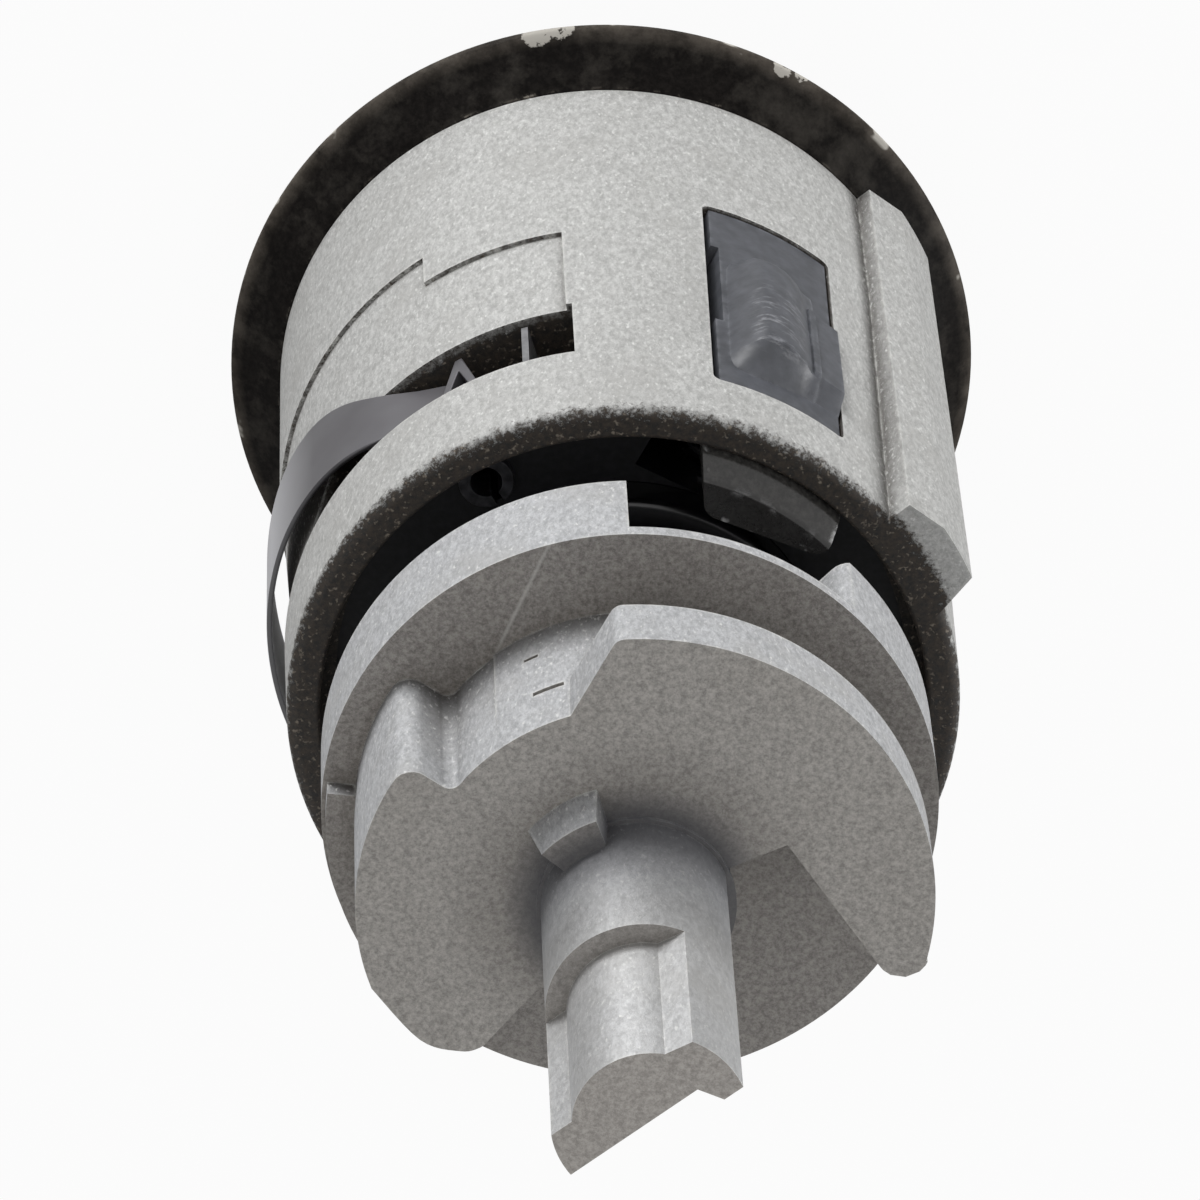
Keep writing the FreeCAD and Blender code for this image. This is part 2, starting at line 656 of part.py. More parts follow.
def lock_body():
    """Inner body: plug bore, wafer channels, latch pocket, bush seat and the two keyed holes."""
    body = disc(BODY_RADIUS, BODY_FRONT, BODY_REAR)
    body = body.cut(disc(BODY_BORE, BODY_FRONT, BODY_REAR))
    body = body.cut(disc(BUSH_RADIUS, CLIP_FACE, BODY_REAR))
    half = WAFER_WIDTH / 2 + SLIDE_CLEARANCE
    reach = PLUG_RADIUS + CHANNEL_DEPTH
    channel_front = WAFER_FIRST - WAFER_SLOT
    channel_rear = WAFER_FIRST + WAFER_PITCH * (WAFER_COUNT - 1) + WAFER_SLOT
    body = body.cut(block(-half, half, -reach, reach, channel_front, channel_rear))
    half = LATCH_PLATE_WIDTH / 2 + SLIDE_CLEARANCE
    floor = latch_inner() - LATCH_TRAVEL - SLIDE_CLEARANCE
    front = BEZEL_DEPTH + LATCH_FRONT - SLIDE_CLEARANCE
    pocket = block(floor, SLEEVE_RADIUS, -half, half, front, BODY_REAR)
    well = Part.makeCylinder(
        LATCH_SPRING_RADIUS + LATCH_SPRING_WIRE,
        SLEEVE_RADIUS - LATCH_SPRING_FLOOR,
        Vector(LATCH_SPRING_FLOOR, 0, LATCH_SPRING_PLACE),
        Vector(1, 0, 0),
    )
    body = body.cut(turned(pocket.fuse(well), LATCH_ANGLE))
    hole = disc(BODY_PIN_RADIUS, BODY_REAR + BODY_PIN_STANDOUT - BODY_PIN_LENGTH, BODY_REAR)
    hole.translate(polar(BODY_PIN_CIRCLE, BODY_PIN_ANGLE))
    return body.cut(hole).cut(blade(BLADE_ROOT, CUT_MARGIN)).removeSplitter()


def body_pin():
    """Slit hollow pin in the rear of the lock body."""
    low = BODY_REAR + BODY_PIN_STANDOUT - BODY_PIN_LENGTH
    pin = ring(BODY_PIN_RADIUS, BODY_PIN_BORE, low, BODY_REAR + BODY_PIN_STANDOUT)
    half = BODY_PIN_SLIT / 2
    slit = block(0, BODY_PIN_RADIUS, -half, half, low, BODY_REAR + BODY_PIN_STANDOUT)
    pin = pin.cut(turned(slit, BODY_PIN_ANGLE + 180))
    pin.translate(polar(BODY_PIN_CIRCLE, BODY_PIN_ANGLE))
    return pin


def bearing_bush():
    """Black bush that guides the actuator's neck, with a rounded rear lip."""
    rear = BODY_REAR + BUSH_STANDOUT
    bush = ring(BUSH_RADIUS - SEAT_CLEARANCE, NECK_RADIUS + RUN_CLEARANCE, CLIP_FACE, rear)
    return bush.makeFillet(BUSH_ROUND, wide_edges(bush, rear, BUSH_RADIUS - SEAT_CLEARANCE))


def keyway(low, high, spare=0.0):
    """Key slot with a ward on each side, between two heights."""
    half = KEYWAY_WIDTH / 2 + spare
    top = KEYWAY_HEIGHT / 2 + spare
    ward = KEYWAY_WARD
    step = KEYWAY_WARD_HEIGHT
    right = KEYWAY_RIGHT_WARD
    left = KEYWAY_LEFT_WARD
    outline = [
        (-half, -top), (half, -top), (half, right), (half - ward, right),
        (half - ward, right + step), (half, right + step), (half, top), (-half, top),
        (-half, left), (ward - half, left), (ward - half, left - step), (-half, left - step),
    ]
    return prism([Vector(x, y, low) for x, y in outline], high - low)


def wafer_height(number):
    return WAFER_FIRST + WAFER_PITCH * number


def wafer_side(number):
    """Side that a wafer springs out to: +Y and -Y in turn."""
    return 0 if number % 2 == 0 else 180


def wafer_room(number):
    """Slot, lug notch and spring bore of one wafer, cut from the plug."""
    middle = wafer_height(number)
    low = middle - WAFER_SLOT / 2
    high = middle + WAFER_SLOT / 2
    half = WAFER_WIDTH / 2 + RUN_CLEARANCE
    slot = block(-half, half, -PLUG_RADIUS, PLUG_RADIUS, low, high)
    lug_half = LUG_HEIGHT / 2 + WAFER_TRAVEL + RUN_CLEARANCE
    notch = block(0, WAFER_WIDTH / 2 + LUG_REACH + RUN_CLEARANCE, -LUG_HEIGHT / 2, lug_half, low, high)
    bore = Part.makeCylinder(
        SPRING_BORE_RADIUS, SPRING_LENGTH + LUG_HEIGHT / 2,
        Vector(LUG_X, -SPRING_LENGTH - LUG_HEIGHT / 2, middle), Vector(0, 1, 0),
    )
    return turned(slot.fuse(notch).fuse(bore), wafer_side(number))


def shutter_room():
    """Cavity in the plug's head that the shutter lies and swings in, with the pin's hole."""
    left = -KEYWAY_WIDTH / 2 - SHUTTER_OVERLAP - SLIDE_CLEARANCE
    right = HINGE_X + SHUTTER_PIN_RADIUS + SHUTTER_KNUCKLE_WALL + SLIDE_CLEARANCE + RUN_CLEARANCE
    half = SHUTTER_LENGTH / 2 + SLIDE_CLEARANCE
    room = block(left, right, -half, half, PLUG_FACE_INSET, PLUG_FACE_INSET + SHUTTER_SWING_ROOM)
    hole = Part.makeCylinder(
        SHUTTER_PIN_RADIUS, SHUTTER_PIN_LENGTH,
        Vector(HINGE_X, -SHUTTER_PIN_LENGTH / 2, HINGE_Z), Vector(0, 1, 0),
    )
    return room.fuse(hole)


def key_plug():
    """Rotating plug: head, barrel with wafer slots, clip groove and drive tongue."""
    plug = disc(PLUG_HEAD_RADIUS, PLUG_FACE_INSET, BODY_FRONT)
    plug = plug.fuse(disc(PLUG_RADIUS, BODY_FRONT, PLUG_END))
    groove_low = CLIP_FACE + RUN_CLEARANCE
    groove_high = groove_low + CLIP_THICKNESS + RUN_CLEARANCE
    plug = plug.cut(ring(PLUG_RADIUS + CUT_MARGIN, CLIP_GROOVE_RADIUS, groove_low, groove_high))
    tongue = block(
        -TONGUE_WIDTH / 2, TONGUE_WIDTH / 2, -TONGUE_THICKNESS / 2, TONGUE_THICKNESS / 2,
        PLUG_END, PLUG_END + TONGUE_LENGTH,
    )
    plug = plug.fuse(tongue)
    plug = plug.cut(keyway(PLUG_FACE_INSET, KEYWAY_END))
    for number in range(WAFER_COUNT):
        plug = plug.cut(wafer_room(number))
    plug = plug.cut(shutter_room())
    return plug.cut(cross_pin_hole()).removeSplitter()


def face_cap():
    """Thin pressed cap over the plug's head, with the key slot."""
    front = PLUG_FACE_INSET - SEAT_CLEARANCE - FACE_THICKNESS
    inside = PLUG_HEAD_RADIUS + SEAT_CLEARANCE
    cup = disc(FACE_RADIUS, front, PLUG_FACE_INSET + FACE_SKIRT)
    cup = cup.cut(disc(inside, PLUG_FACE_INSET - SEAT_CLEARANCE, PLUG_FACE_INSET + FACE_SKIRT))
    slot = keyway(front, PLUG_FACE_INSET, RUN_CLEARANCE)
    return cup.makeFillet(FACE_ROUND, wide_edges(cup, front, FACE_RADIUS)).cut(slot)


def shutter():
    """Flap behind the face cap, with a knuckle round its pin."""
    half = SHUTTER_LENGTH / 2
    left = -KEYWAY_WIDTH / 2 - SHUTTER_OVERLAP
    front = PLUG_FACE_INSET + SEAT_CLEARANCE
    spring_end = half - SHUTTER_SPRING_LENGTH
    flap = block(left, HINGE_X, -half, spring_end, front, front + SHUTTER_THICKNESS)
    outer = SHUTTER_PIN_RADIUS + SHUTTER_KNUCKLE_WALL + RUN_CLEARANCE
    start = Vector(HINGE_X, -half, HINGE_Z)
    along = Vector(0, 1, 0)
    knuckle = Part.makeCylinder(outer, half + spring_end, start, along)
    bore = Part.makeCylinder(SHUTTER_PIN_RADIUS + RUN_CLEARANCE, half + spring_end, start, along)
    return flap.fuse(knuckle).cut(bore).removeSplitter()


def shutter_pin():
    """Hinge pin of the shutter, held in the plug's head at both ends."""
    start = Vector(HINGE_X, -SHUTTER_PIN_LENGTH / 2, HINGE_Z)
    return Part.makeCylinder(SHUTTER_PIN_RADIUS, SHUTTER_PIN_LENGTH, start, Vector(0, 1, 0))


def shutter_spring():
    """Small torsion coil round the shutter's pin."""
    spring = coil(
        SHUTTER_PIN_RADIUS + RUN_CLEARANCE + SPRING_WIRE / 2, SPRING_WIRE,
        SHUTTER_SPRING_LENGTH - 2 * SLIDE_CLEARANCE, SHUTTER_SPRING_TURNS,
    )
    spring.rotate(Vector(0, 0, 0), Vector(1, 0, 0), -90)
    start = SHUTTER_LENGTH / 2 - SHUTTER_SPRING_LENGTH + SLIDE_CLEARANCE
    spring.translate(Vector(HINGE_X, start, HINGE_Z))
    return spring


def wafer(number):
    """Wafer tumbler at its key height: rounded ends, key window and spring lug."""
    low = wafer_height(number) - WAFER_THICKNESS / 2
    high = low + WAFER_THICKNESS
    half = WAFER_WIDTH / 2
    plate = disc(PLUG_RADIUS - RUN_CLEARANCE, low, high)
    plate = plate.common(block(-half, half, -PLUG_RADIUS, PLUG_RADIUS, low, high))
    window_half = WAFER_WINDOW_WIDTH / 2
    bottom = WAFER_CUTS[number % len(WAFER_CUTS)] - (WAFER_WINDOW_HEIGHT + WAFER_TRAVEL) / 2
    plate = plate.cut(block(-window_half, window_half, bottom, bottom + WAFER_WINDOW_HEIGHT, low, high))
    lug = block(half - 0.2, half + LUG_REACH, -LUG_HEIGHT / 2, LUG_HEIGHT / 2, low, high)
    return turned(plate.fuse(lug).removeSplitter(), wafer_side(number))


def wafer_spring(number):
    """Coil under a wafer's lug, along Y in its bore."""
    spring = coil(SPRING_COIL_RADIUS, SPRING_WIRE, SPRING_LENGTH, SPRING_TURNS)
    spring.rotate(Vector(0, 0, 0), Vector(1, 0, 0), -90)
    spring.translate(Vector(LUG_X, -SPRING_LENGTH - LUG_HEIGHT / 2, wafer_height(number)))
    return turned(spring, wafer_side(number))


def retaining_clip():
    """Open ring in the plug's groove, behind the lock body."""
    low = CLIP_FACE + RUN_CLEARANCE
    high = low + CLIP_THICKNESS
    clip = ring(CLIP_RADIUS, CLIP_GROOVE_RADIUS + RUN_CLEARANCE, low, high)
    half = CLIP_OPENING / 2
    return clip.cut(block(0, CLIP_RADIUS + CUT_MARGIN, -half, half, low, high))


def latch_inner():
    """Radius of the latch plate's inner face."""
    return SLEEVE_BORE_RADIUS - SLIDE_CLEARANCE - LATCH_PLATE_THICKNESS


def latch_plate():
    """Plate and arm of the latch, under the sleeve's bore."""
    half = LATCH_PLATE_WIDTH / 2
    front = BEZEL_DEPTH + LATCH_FRONT
    crest = SLEEVE_BORE_RADIUS - SLIDE_CLEARANCE
    arm_start = CLIP_FACE - SLIDE_CLEARANCE
    rear = SLEEVE_REAR
    plate = block(latch_inner(), crest, -half, half, front, arm_start)
    arm = block(crest - LATCH_ARM_THICKNESS, crest, ARM_RIGHT, BLOCK_FOOT, arm_start, rear)
    return plate.fuse(arm).common(disc(crest, front, rear))


def latch_block():
    """Slanted block of the latch that stands in the sleeve's mouth."""
    low = SLEEVE_REAR - MOUTH_DEPTH + SLIDE_CLEARANCE
    high = SLEEVE_REAR + LATCH_STANDOUT
    crest = MOUTH_RADIUS - SLIDE_CLEARANCE
    foot = SLEEVE_BORE_RADIUS - SLIDE_CLEARANCE - LATCH_ARM_THICKNESS
    right = -LATCH_PLATE_WIDTH / 2
    outline = [
        Vector(foot - BLOCK_SLANT / 2, BLOCK_FOOT, low), Vector(crest, BLOCK_LEFT, low),
        Vector(crest, right, low), Vector(foot + BLOCK_SLANT * 2, right, low),
        Vector(foot + BLOCK_SLANT / 2, right + BLOCK_SLANT, low),
    ]
    bar = disc(crest, low, high)
    bar = bar.makeChamfer(LATCH_BLOCK_CHAMFER, level_edges(bar, high))
    return prism(outline, high - low).common(bar)


def latch_field():
    """Field of the latch in the sleeve's window, drafted as the sleeve is, and its lower shelf."""
    low = BEZEL_DEPTH + WINDOW_FRONT + SLIDE_CLEARANCE
    high = low + WINDOW_LENGTH - 2 * SLIDE_CLEARANCE
    left = WINDOW_WIDTH / 2 - WINDOW_GAP
    right = SLIDE_CLEARANCE - WINDOW_WIDTH / 2
    root = latch_inner() + LATCH_SPRING_POCKET
    skin = revolved([
        (0, low), (SLEEVE_RADIUS - LATCH_FIELD_INSET, low),
        (SLEEVE_REAR_RADIUS - LATCH_FIELD_INSET, high), (0, high),
    ])
    field = block(root, SLEEVE_RADIUS, right, left, low, high).common(skin)
    shelf_rear = WINDOW_REAR - SHELF_REAR_SETBACK
    shelf = block(root, BUMP_RADIUS, right, SHELF_LEFT, shelf_rear - SHELF_LENGTH, shelf_rear)
    return field.fuse(shelf.common(disc(SHELF_RADIUS, low, high)))


def latch_bump():
    """Bump on the field: rounded across, with a ramp in front and a rounded rear edge."""
    root = latch_inner() + LATCH_SPRING_POCKET
    ramp_start = BEZEL_DEPTH + WINDOW_FRONT + BUMP_FRONT_SETBACK
    bump_rear = WINDOW_REAR - BUMP_REAR_SETBACK
    across = [Vector(SLEEVE_RADIUS + rise, offset, ramp_start) for offset, rise in BUMP_SECTION]
    first = Vector(root, across[0].y, ramp_start)
    last = Vector(root, across[-1].y, ramp_start)
    edges = [line(first, across[0]), smooth_edge(across), line(across[-1], last), line(last, first)]
    bump = Part.Face(Part.Wire(edges)).extrude(Vector(0, 0, bump_rear - ramp_start))
    side = [
        Vector(root, -WINDOW_WIDTH, ramp_start),
        Vector(SLEEVE_RADIUS - BUMP_HEIGHT, -WINDOW_WIDTH, ramp_start),
        Vector(BUMP_RADIUS, -WINDOW_WIDTH, ramp_start + BUMP_RAMP),
        Vector(BUMP_RADIUS, -WINDOW_WIDTH, bump_rear - BUMP_ROUND),
        Vector(BUMP_RADIUS - BUMP_ROUND, -WINDOW_WIDTH, bump_rear),
        Vector(root, -WINDOW_WIDTH, bump_rear),
    ]
    profile = Part.Face(Part.makePolygon(side + side[:1])).extrude(Vector(0, 2 * WINDOW_WIDTH, 0))
    return bump.common(profile)


def retaining_latch():
    """Plastic latch: plate under the sleeve, field and bump in the window, block in the mouth."""
    well = Part.makeCylinder(
        LATCH_SPRING_RADIUS + LATCH_SPRING_WIRE, LATCH_SPRING_POCKET,
        Vector(latch_inner(), 0, LATCH_SPRING_PLACE), Vector(1, 0, 0),
    )
    latch = latch_plate().fuse(latch_block()).fuse(latch_field()).fuse(latch_bump()).cut(well)
    return turned(latch.removeSplitter(), LATCH_ANGLE)


def latch_spring():
    """Coil that pushes the latch out, between the lock body's well and the latch."""
    length = latch_inner() + LATCH_SPRING_POCKET - LATCH_SPRING_FLOOR
    spring = coil(LATCH_SPRING_RADIUS, LATCH_SPRING_WIRE, length, LATCH_SPRING_TURNS)
    spring.rotate(Vector(0, 0, 0), Vector(0, 1, 0), 90)
    spring.translate(Vector(LATCH_SPRING_FLOOR, 0, LATCH_SPRING_PLACE))
    return turned(spring, LATCH_ANGLE)


def cross_pin_hole():
    """Hole for the cross pin through the neck and the tongue."""
    height = NECK_FRONT + CROSS_PIN_PLACE
    return Part.makeCylinder(
        CROSS_PIN_RADIUS, 2 * NECK_RADIUS, Vector(0, -NECK_RADIUS, height), Vector(0, 1, 0)
    )


def cross_pin():
    """Pin that holds the actuator on the plug's tongue."""
    height = NECK_FRONT + CROSS_PIN_PLACE
    half = NECK_RADIUS - CROSS_PIN_INSET
    return Part.makeCylinder(CROSS_PIN_RADIUS, 2 * half, Vector(0, -half, height), Vector(0, 1, 0))


def flange():
    """Flange with its front cut back in one sector, a thin lip left behind it, and a raised pad."""
    plate = disc(FLANGE_RADIUS, FLANGE_FRONT, FLANGE_REAR)
    cut = sector(
        FLANGE_CUT_RADIUS, FLANGE_RADIUS + CUT_MARGIN, FLANGE_CUT_START, FLANGE_CUT_END,
        FLANGE_FRONT, FLANGE_REAR - FLANGE_LIP,
    )
    pad = sector(
        CORE_RADIUS - CUT_MARGIN, FLANGE_RADIUS - PAD_INSET, PAD_START, PAD_END,
        FLANGE_REAR, FLANGE_REAR + PAD_HEIGHT,
    )
    plate = plate.cut(cut)
    plate = plate.makeFillet(FLANGE_CUT_ROUND, upright_edges(plate, FLANGE_RADIUS, FLANGE_CUT_START))
    return plate.fuse(pad)


def cam_outline(height, lug):
    """Outline of the cam at a height: core and lobe, with the plate's wide arc where it has one."""
    centre = Vector(0, 0, height)
    gap_corner = polar(GAP_CORNER_RADIUS, GAP_CORNER_ANGLE, height)
    gap_side = polar(GAP_SIDE_RADIUS, GAP_SIDE_ANGLE, height)
    lobe_end = polar(LOBE_END_RADIUS, LOBE_END_ANGLE, height)
    heel = polar(LOBE_HEEL_RADIUS, LOBE_HEEL_ANGLE, height)
    back = polar(LOBE_RADIUS, LOBE_BACK_ANGLE, height)
    edges = [line(centre, gap_corner)]
    if lug:
        edges.append(line(gap_corner, polar(PLATE_RADIUS, PLATE_TIP_ANGLE, height)))
        edges.append(arc(PLATE_RADIUS, PLATE_TIP_ANGLE, PLATE_END_ANGLE, height))
        edges.append(line(edges[-1].Vertexes[-1].Point, polar(CORE_RADIUS, PLATE_FOOT_ANGLE, height)))
        edges.append(arc(CORE_RADIUS, PLATE_FOOT_ANGLE, LOBE_ANGLE, height))
    else:
        edges.append(line(gap_corner, polar(CORE_RADIUS, CORE_TIP_ANGLE, height)))
        edges.append(arc(CORE_RADIUS, CORE_TIP_ANGLE, LOBE_ANGLE, height))
    edges.append(line(polar(CORE_RADIUS, LOBE_ANGLE, height), polar(LOBE_RADIUS, LOBE_ANGLE, height)))
    edges.append(arc(LOBE_RADIUS, LOBE_ANGLE, LOBE_BACK_ANGLE, height))
    edges.append(Part.Arc(back, heel, lobe_end).toShape())
    edges.append(line(lobe_end, gap_side))
    edges.append(line(gap_side, centre))
    return Part.Face(Part.Wire(edges))


def cam_level(low, high, lug):
    """One level of the cam with its corners rounded."""
    level = cam_outline(low, lug).extrude(Vector(0, 0, high - low))
    corners = [(CORE_RADIUS, LOBE_ANGLE), (LOBE_RADIUS, LOBE_ANGLE), (LOBE_END_RADIUS, LOBE_END_ANGLE)]
    if lug:
        corners.append((PLATE_RADIUS, PLATE_END_ANGLE))
        tip = upright_edges(level, PLATE_RADIUS, PLATE_TIP_ANGLE)
        level = level.makeFillet(PLATE_TIP_ROUND, tip)
    for radius, angle in corners:
        level = level.makeFillet(CAM_ROUND, upright_edges(level, radius, angle))
    return level


def cam():
    """Two-level cam: core and lobe at full height, and a thin plate behind its groove."""
    plate_low = CAM_REAR - CAM_PLATE
    return cam_level(FLANGE_REAR, CAM_REAR, False).fuse(cam_level(plate_low, CAM_REAR, True))


def tail_section(height, length, recessed):
    """Length of the tail: half round with a toe on one side, recessed along its crown or not."""
    toe_angle = -90 - math.degrees(math.asin(TAIL_TOE_DEPTH / TAIL_RADIUS))
    if recessed:
        left = polar(TAIL_RADIUS, TAIL_RIB_LEFT, height)
        floor_left = polar(TAIL_RECESS_RADIUS, TAIL_RECESS_LEFT, height)
        floor_right = polar(TAIL_RECESS_RADIUS, TAIL_RECESS_RIGHT, height)
        right = polar(TAIL_RADIUS, TAIL_RIB_RIGHT, height)
        edges = [
            arc(TAIL_RADIUS, 90, TAIL_RIB_LEFT, height),
            line(left, floor_left),
            arc(TAIL_RECESS_RADIUS, TAIL_RECESS_LEFT, TAIL_RECESS_RIGHT, height),
            line(floor_right, right),
            arc(TAIL_RADIUS, TAIL_RIB_RIGHT, toe_angle, height),
        ]
    else:
        edges = [arc(TAIL_RADIUS, 90, toe_angle, height)]
    toe = polar(TAIL_RADIUS, toe_angle, height)
    corners = [
        toe, Vector(toe.x, -TAIL_TOE_END, height), Vector(0, -TAIL_TOE_START, height),
        polar(TAIL_RADIUS, 90, height),
    ]
    edges += [line(start, end) for start, end in zip(corners, corners[1:])]
    return Part.Face(Part.Wire(edges)).extrude(Vector(0, 0, length))


def tail():
    """Half-round drive tail with a toe on one side and a stepped recess along its crown."""
    lower = tail_section(CAM_REAR, TAIL_STEP, False)
    upper = tail_section(CAM_REAR + TAIL_STEP, TAIL_LENGTH - TAIL_STEP, True)
    return turned(lower.fuse(upper), TAIL_FLAT_ANGLE)


def stud():
    """Small curved stud beside the tail, rounded at its top and ends."""
    lug = sector(STUD_INNER, STUD_OUTER, STUD_START, STUD_END, CAM_REAR, CAM_REAR + STUD_HEIGHT)
    lug = lug.makeFillet(STUD_ROUND, upright_edges(lug, (STUD_INNER + STUD_OUTER) / 2))
    return lug.makeFillet(STUD_ROUND, level_edges(lug, CAM_REAR + STUD_HEIGHT))


def actuator():
    """Die-cast actuator: neck with the tongue's socket, flange, cam, stud and drive tail."""
    neck = disc(NECK_RADIUS, NECK_FRONT, FLANGE_FRONT)
    shank = disc(TAIL_RADIUS, FLANGE_REAR, CAM_REAR)
    root = revolved([
        (0, CAM_REAR), (TAIL_ROOT_RADIUS, CAM_REAR), (TAIL_RADIUS, CAM_REAR + TAIL_ROOT_HEIGHT),
        (0, CAM_REAR + TAIL_ROOT_HEIGHT),
    ])
    spare = RUN_CLEARANCE
    socket = block(
        -TONGUE_WIDTH / 2 - spare, TONGUE_WIDTH / 2 + spare,
        -TONGUE_THICKNESS / 2 - spare, TONGUE_THICKNESS / 2 + spare,
        NECK_FRONT, PLUG_END + TONGUE_LENGTH + spare,
    )
    casting = neck.fuse(flange()).fuse(cam()).fuse(shank).fuse(root).fuse(stud()).fuse(tail())
    return casting.cut(socket).cut(cross_pin_hole()).removeSplitter()


def make_parts():
    """Every piece by its node's name."""
    parts = {
        "bezel_cap": bezel_cap(),
        "lock_sleeve": lock_sleeve(),
        "lock_body": lock_body(),
        "body_pin": body_pin(),
        "bearing_bush": bearing_bush(),
        "leaf_spring": leaf_spring(),
        "slot_blade": slot_blade(),
        "retaining_latch": retaining_latch(),
        "latch_spring": latch_spring(),
        "key_plug": key_plug(),
        "face_cap": face_cap(),
        "shutter": shutter(),
        "shutter_pin": shutter_pin(),
        "shutter_spring": shutter_spring(),
        "retaining_clip": retaining_clip(),
        "actuator": actuator(),
        "cross_pin": cross_pin(),
    }
    for number in range(WAFER_COUNT):
        parts["wafer_%d" % (number + 1)] = wafer(number)
        parts["wafer_spring_%d" % (number + 1)] = wafer_spring(number)
    return parts


os.makedirs("parts", exist_ok=True)
for name, shape in make_parts().items():
    shape.exportStep("parts/%s.step" % name)
    print(name, len(shape.Solids), round(shape.Volume, 2), shape.isValid())
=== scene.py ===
import math

import bmesh
import bpy
from mathutils import Matrix, Vector


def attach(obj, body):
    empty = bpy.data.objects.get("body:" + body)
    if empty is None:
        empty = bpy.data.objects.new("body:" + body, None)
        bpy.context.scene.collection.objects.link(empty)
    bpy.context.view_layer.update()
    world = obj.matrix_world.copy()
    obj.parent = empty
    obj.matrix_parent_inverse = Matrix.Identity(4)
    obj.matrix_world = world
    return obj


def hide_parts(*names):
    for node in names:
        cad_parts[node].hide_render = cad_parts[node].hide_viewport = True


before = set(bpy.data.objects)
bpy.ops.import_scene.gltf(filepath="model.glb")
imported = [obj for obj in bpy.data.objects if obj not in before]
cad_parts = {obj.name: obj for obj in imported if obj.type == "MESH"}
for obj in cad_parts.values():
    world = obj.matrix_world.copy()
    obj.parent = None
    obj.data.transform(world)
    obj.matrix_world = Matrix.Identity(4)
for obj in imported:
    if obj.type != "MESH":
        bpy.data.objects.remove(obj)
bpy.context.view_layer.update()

# Ignition lock cylinder, standing on its bezel with the drive tail up. Sizes in the making
# functions are millimetres, heights are counted from the bezel's face, and angles are degrees
# about the key's axis. Blender itself works in metres.
MM = 0.001

# Sleeve: a thin-walled zinc die casting, tumbled after trimming. The leaf's seat and slots, the
# latch's window and the key rib come from one tool, so all their edges are slightly rounded.
SLEEVE_RADIUS = 17.35
SLEEVE_REAR_RADIUS = 16.95
SLEEVE_BORE = 14.45
SLEEVE_FRONT = 8.0
SLEEVE_REAR = 45.4
NOSE_RADIUS = 15.97
NOSE_FRONT = 3.0
DRAFT_FRONT = 21.0
MOUTH_RADIUS = 15.25
MOUTH_FLOOR = SLEEVE_REAR - 4.0
RIB_FOOT = 16.1
RIB_RADIUS = 18.85
RIB_STEP = 0.65
RIB_START = -140.5
RIB_END = -162.0
SLOT_FRONT = 33.4
SLOT_REAR = 38.8
SLOT_SKEW = 3.6
HOOK_SLOT = (-81.5, -33)
FAR_SLOT = (45.0, 93.5)
SEAT = (-55, 67)
SEAT_FRONT = 22.2
SEAT_SIDE = (-80.5, -54)
SEAT_SIDE_FRONT = 25.1
SEAT_DRAFT = [(17.13, 21.0), (19.5, 21.0), (19.5, 40.0), (16.78, 40.0), (16.78, 33.0), (17.02, 27.0)]
LATCH_ANGLE = -117.5
WINDOW_FRONT = 21.1
WINDOW_REAR = 41.0
WINDOW_HALF_WIDTH = 3.725
WINDOW_CORNER = 0.45
OUTSIDE = SLEEVE_RADIUS + 1.5
UPRIGHT = Matrix(((0, 0, 1, 0), (1, 0, 0, 0), (0, 1, 0, 0), (0, 0, 0, 1)))


def polar(radius, angle):
    """Point at a distance from the axis and an angle about it."""
    turn = math.radians(angle)
    return (radius * math.cos(turn), radius * math.sin(turn))


def arc(radius, start, end, step=2.0):
    """Points of an arc about the axis, both ends included."""
    count = max(1, math.ceil(abs(end - start) / step))
    return [polar(radius, start + (end - start) * i / count) for i in range(count + 1)]


def eased(before, corner, after, radius, steps=6):
    """Points that round a corner between the directions of two other points."""
    spot = Vector(corner)
    first = (Vector(before) - spot).normalized()
    second = (Vector(after) - spot).normalized()
    half = first.angle(second) / 2
    centre = spot + (first + second).normalized() * radius / math.sin(half)
    start = spot + first * radius / math.tan(half) - centre
    end = spot + second * radius / math.tan(half) - centre
    return [tuple(centre + start.lerp(end, i / steps).normalized() * radius) for i in range(steps + 1)]


def solid(name, verts, faces):
    """Mesh object from points in millimetres, with its faces turned outward."""
    mesh = bpy.data.meshes.new(name)
    mesh.from_pydata([Vector(v) * MM for v in verts], [], faces)
    work = bmesh.new()
    work.from_mesh(mesh)
    bmesh.ops.recalc_face_normals(work, faces=work.faces)
    work.to_mesh(mesh)
    work.free()
    made = bpy.data.objects.new(name, mesh)
    bpy.context.scene.collection.objects.link(made)
    return made


def tapered(lower, upper, low, high, name="tapered"):
    """Solid between two outlines of as many points at two heights."""
    count = len(lower)
    verts = [(x, y, low) for x, y in lower] + [(x, y, high) for x, y in upper]
    sides = [(i, (i + 1) % count, count + (i + 1) % count, count + i) for i in range(count)]
    return solid(name, verts, [tuple(range(count)), tuple(range(count, 2 * count))] + sides)


def prism(outline, low, high, name="prism"):
    """Flat outline raised from one height to another."""
    return tapered(outline, outline, low, high, name)


def sector(inner, outer, start, end, low, high):
    """Block between two radii and two angles."""
    return prism(arc(outer, start, end) + arc(inner, end, start), low, high)


def revolved(profile, name="revolved", count=180):
    """Closed (radius, height) profile turned about the axis."""
    verts = []
    for i in range(count):
        for radius, height in profile:
            verts.append((*polar(radius, 360 * i / count), height))
    size = len(profile)
    faces = []
    for i in range(count):
        for k in range(size):
            a, b = i * size, (i + 1) % count * size
            faces.append((a + k, a + (k + 1) % size, b + (k + 1) % size, b + k))
    return solid(name, verts, faces)


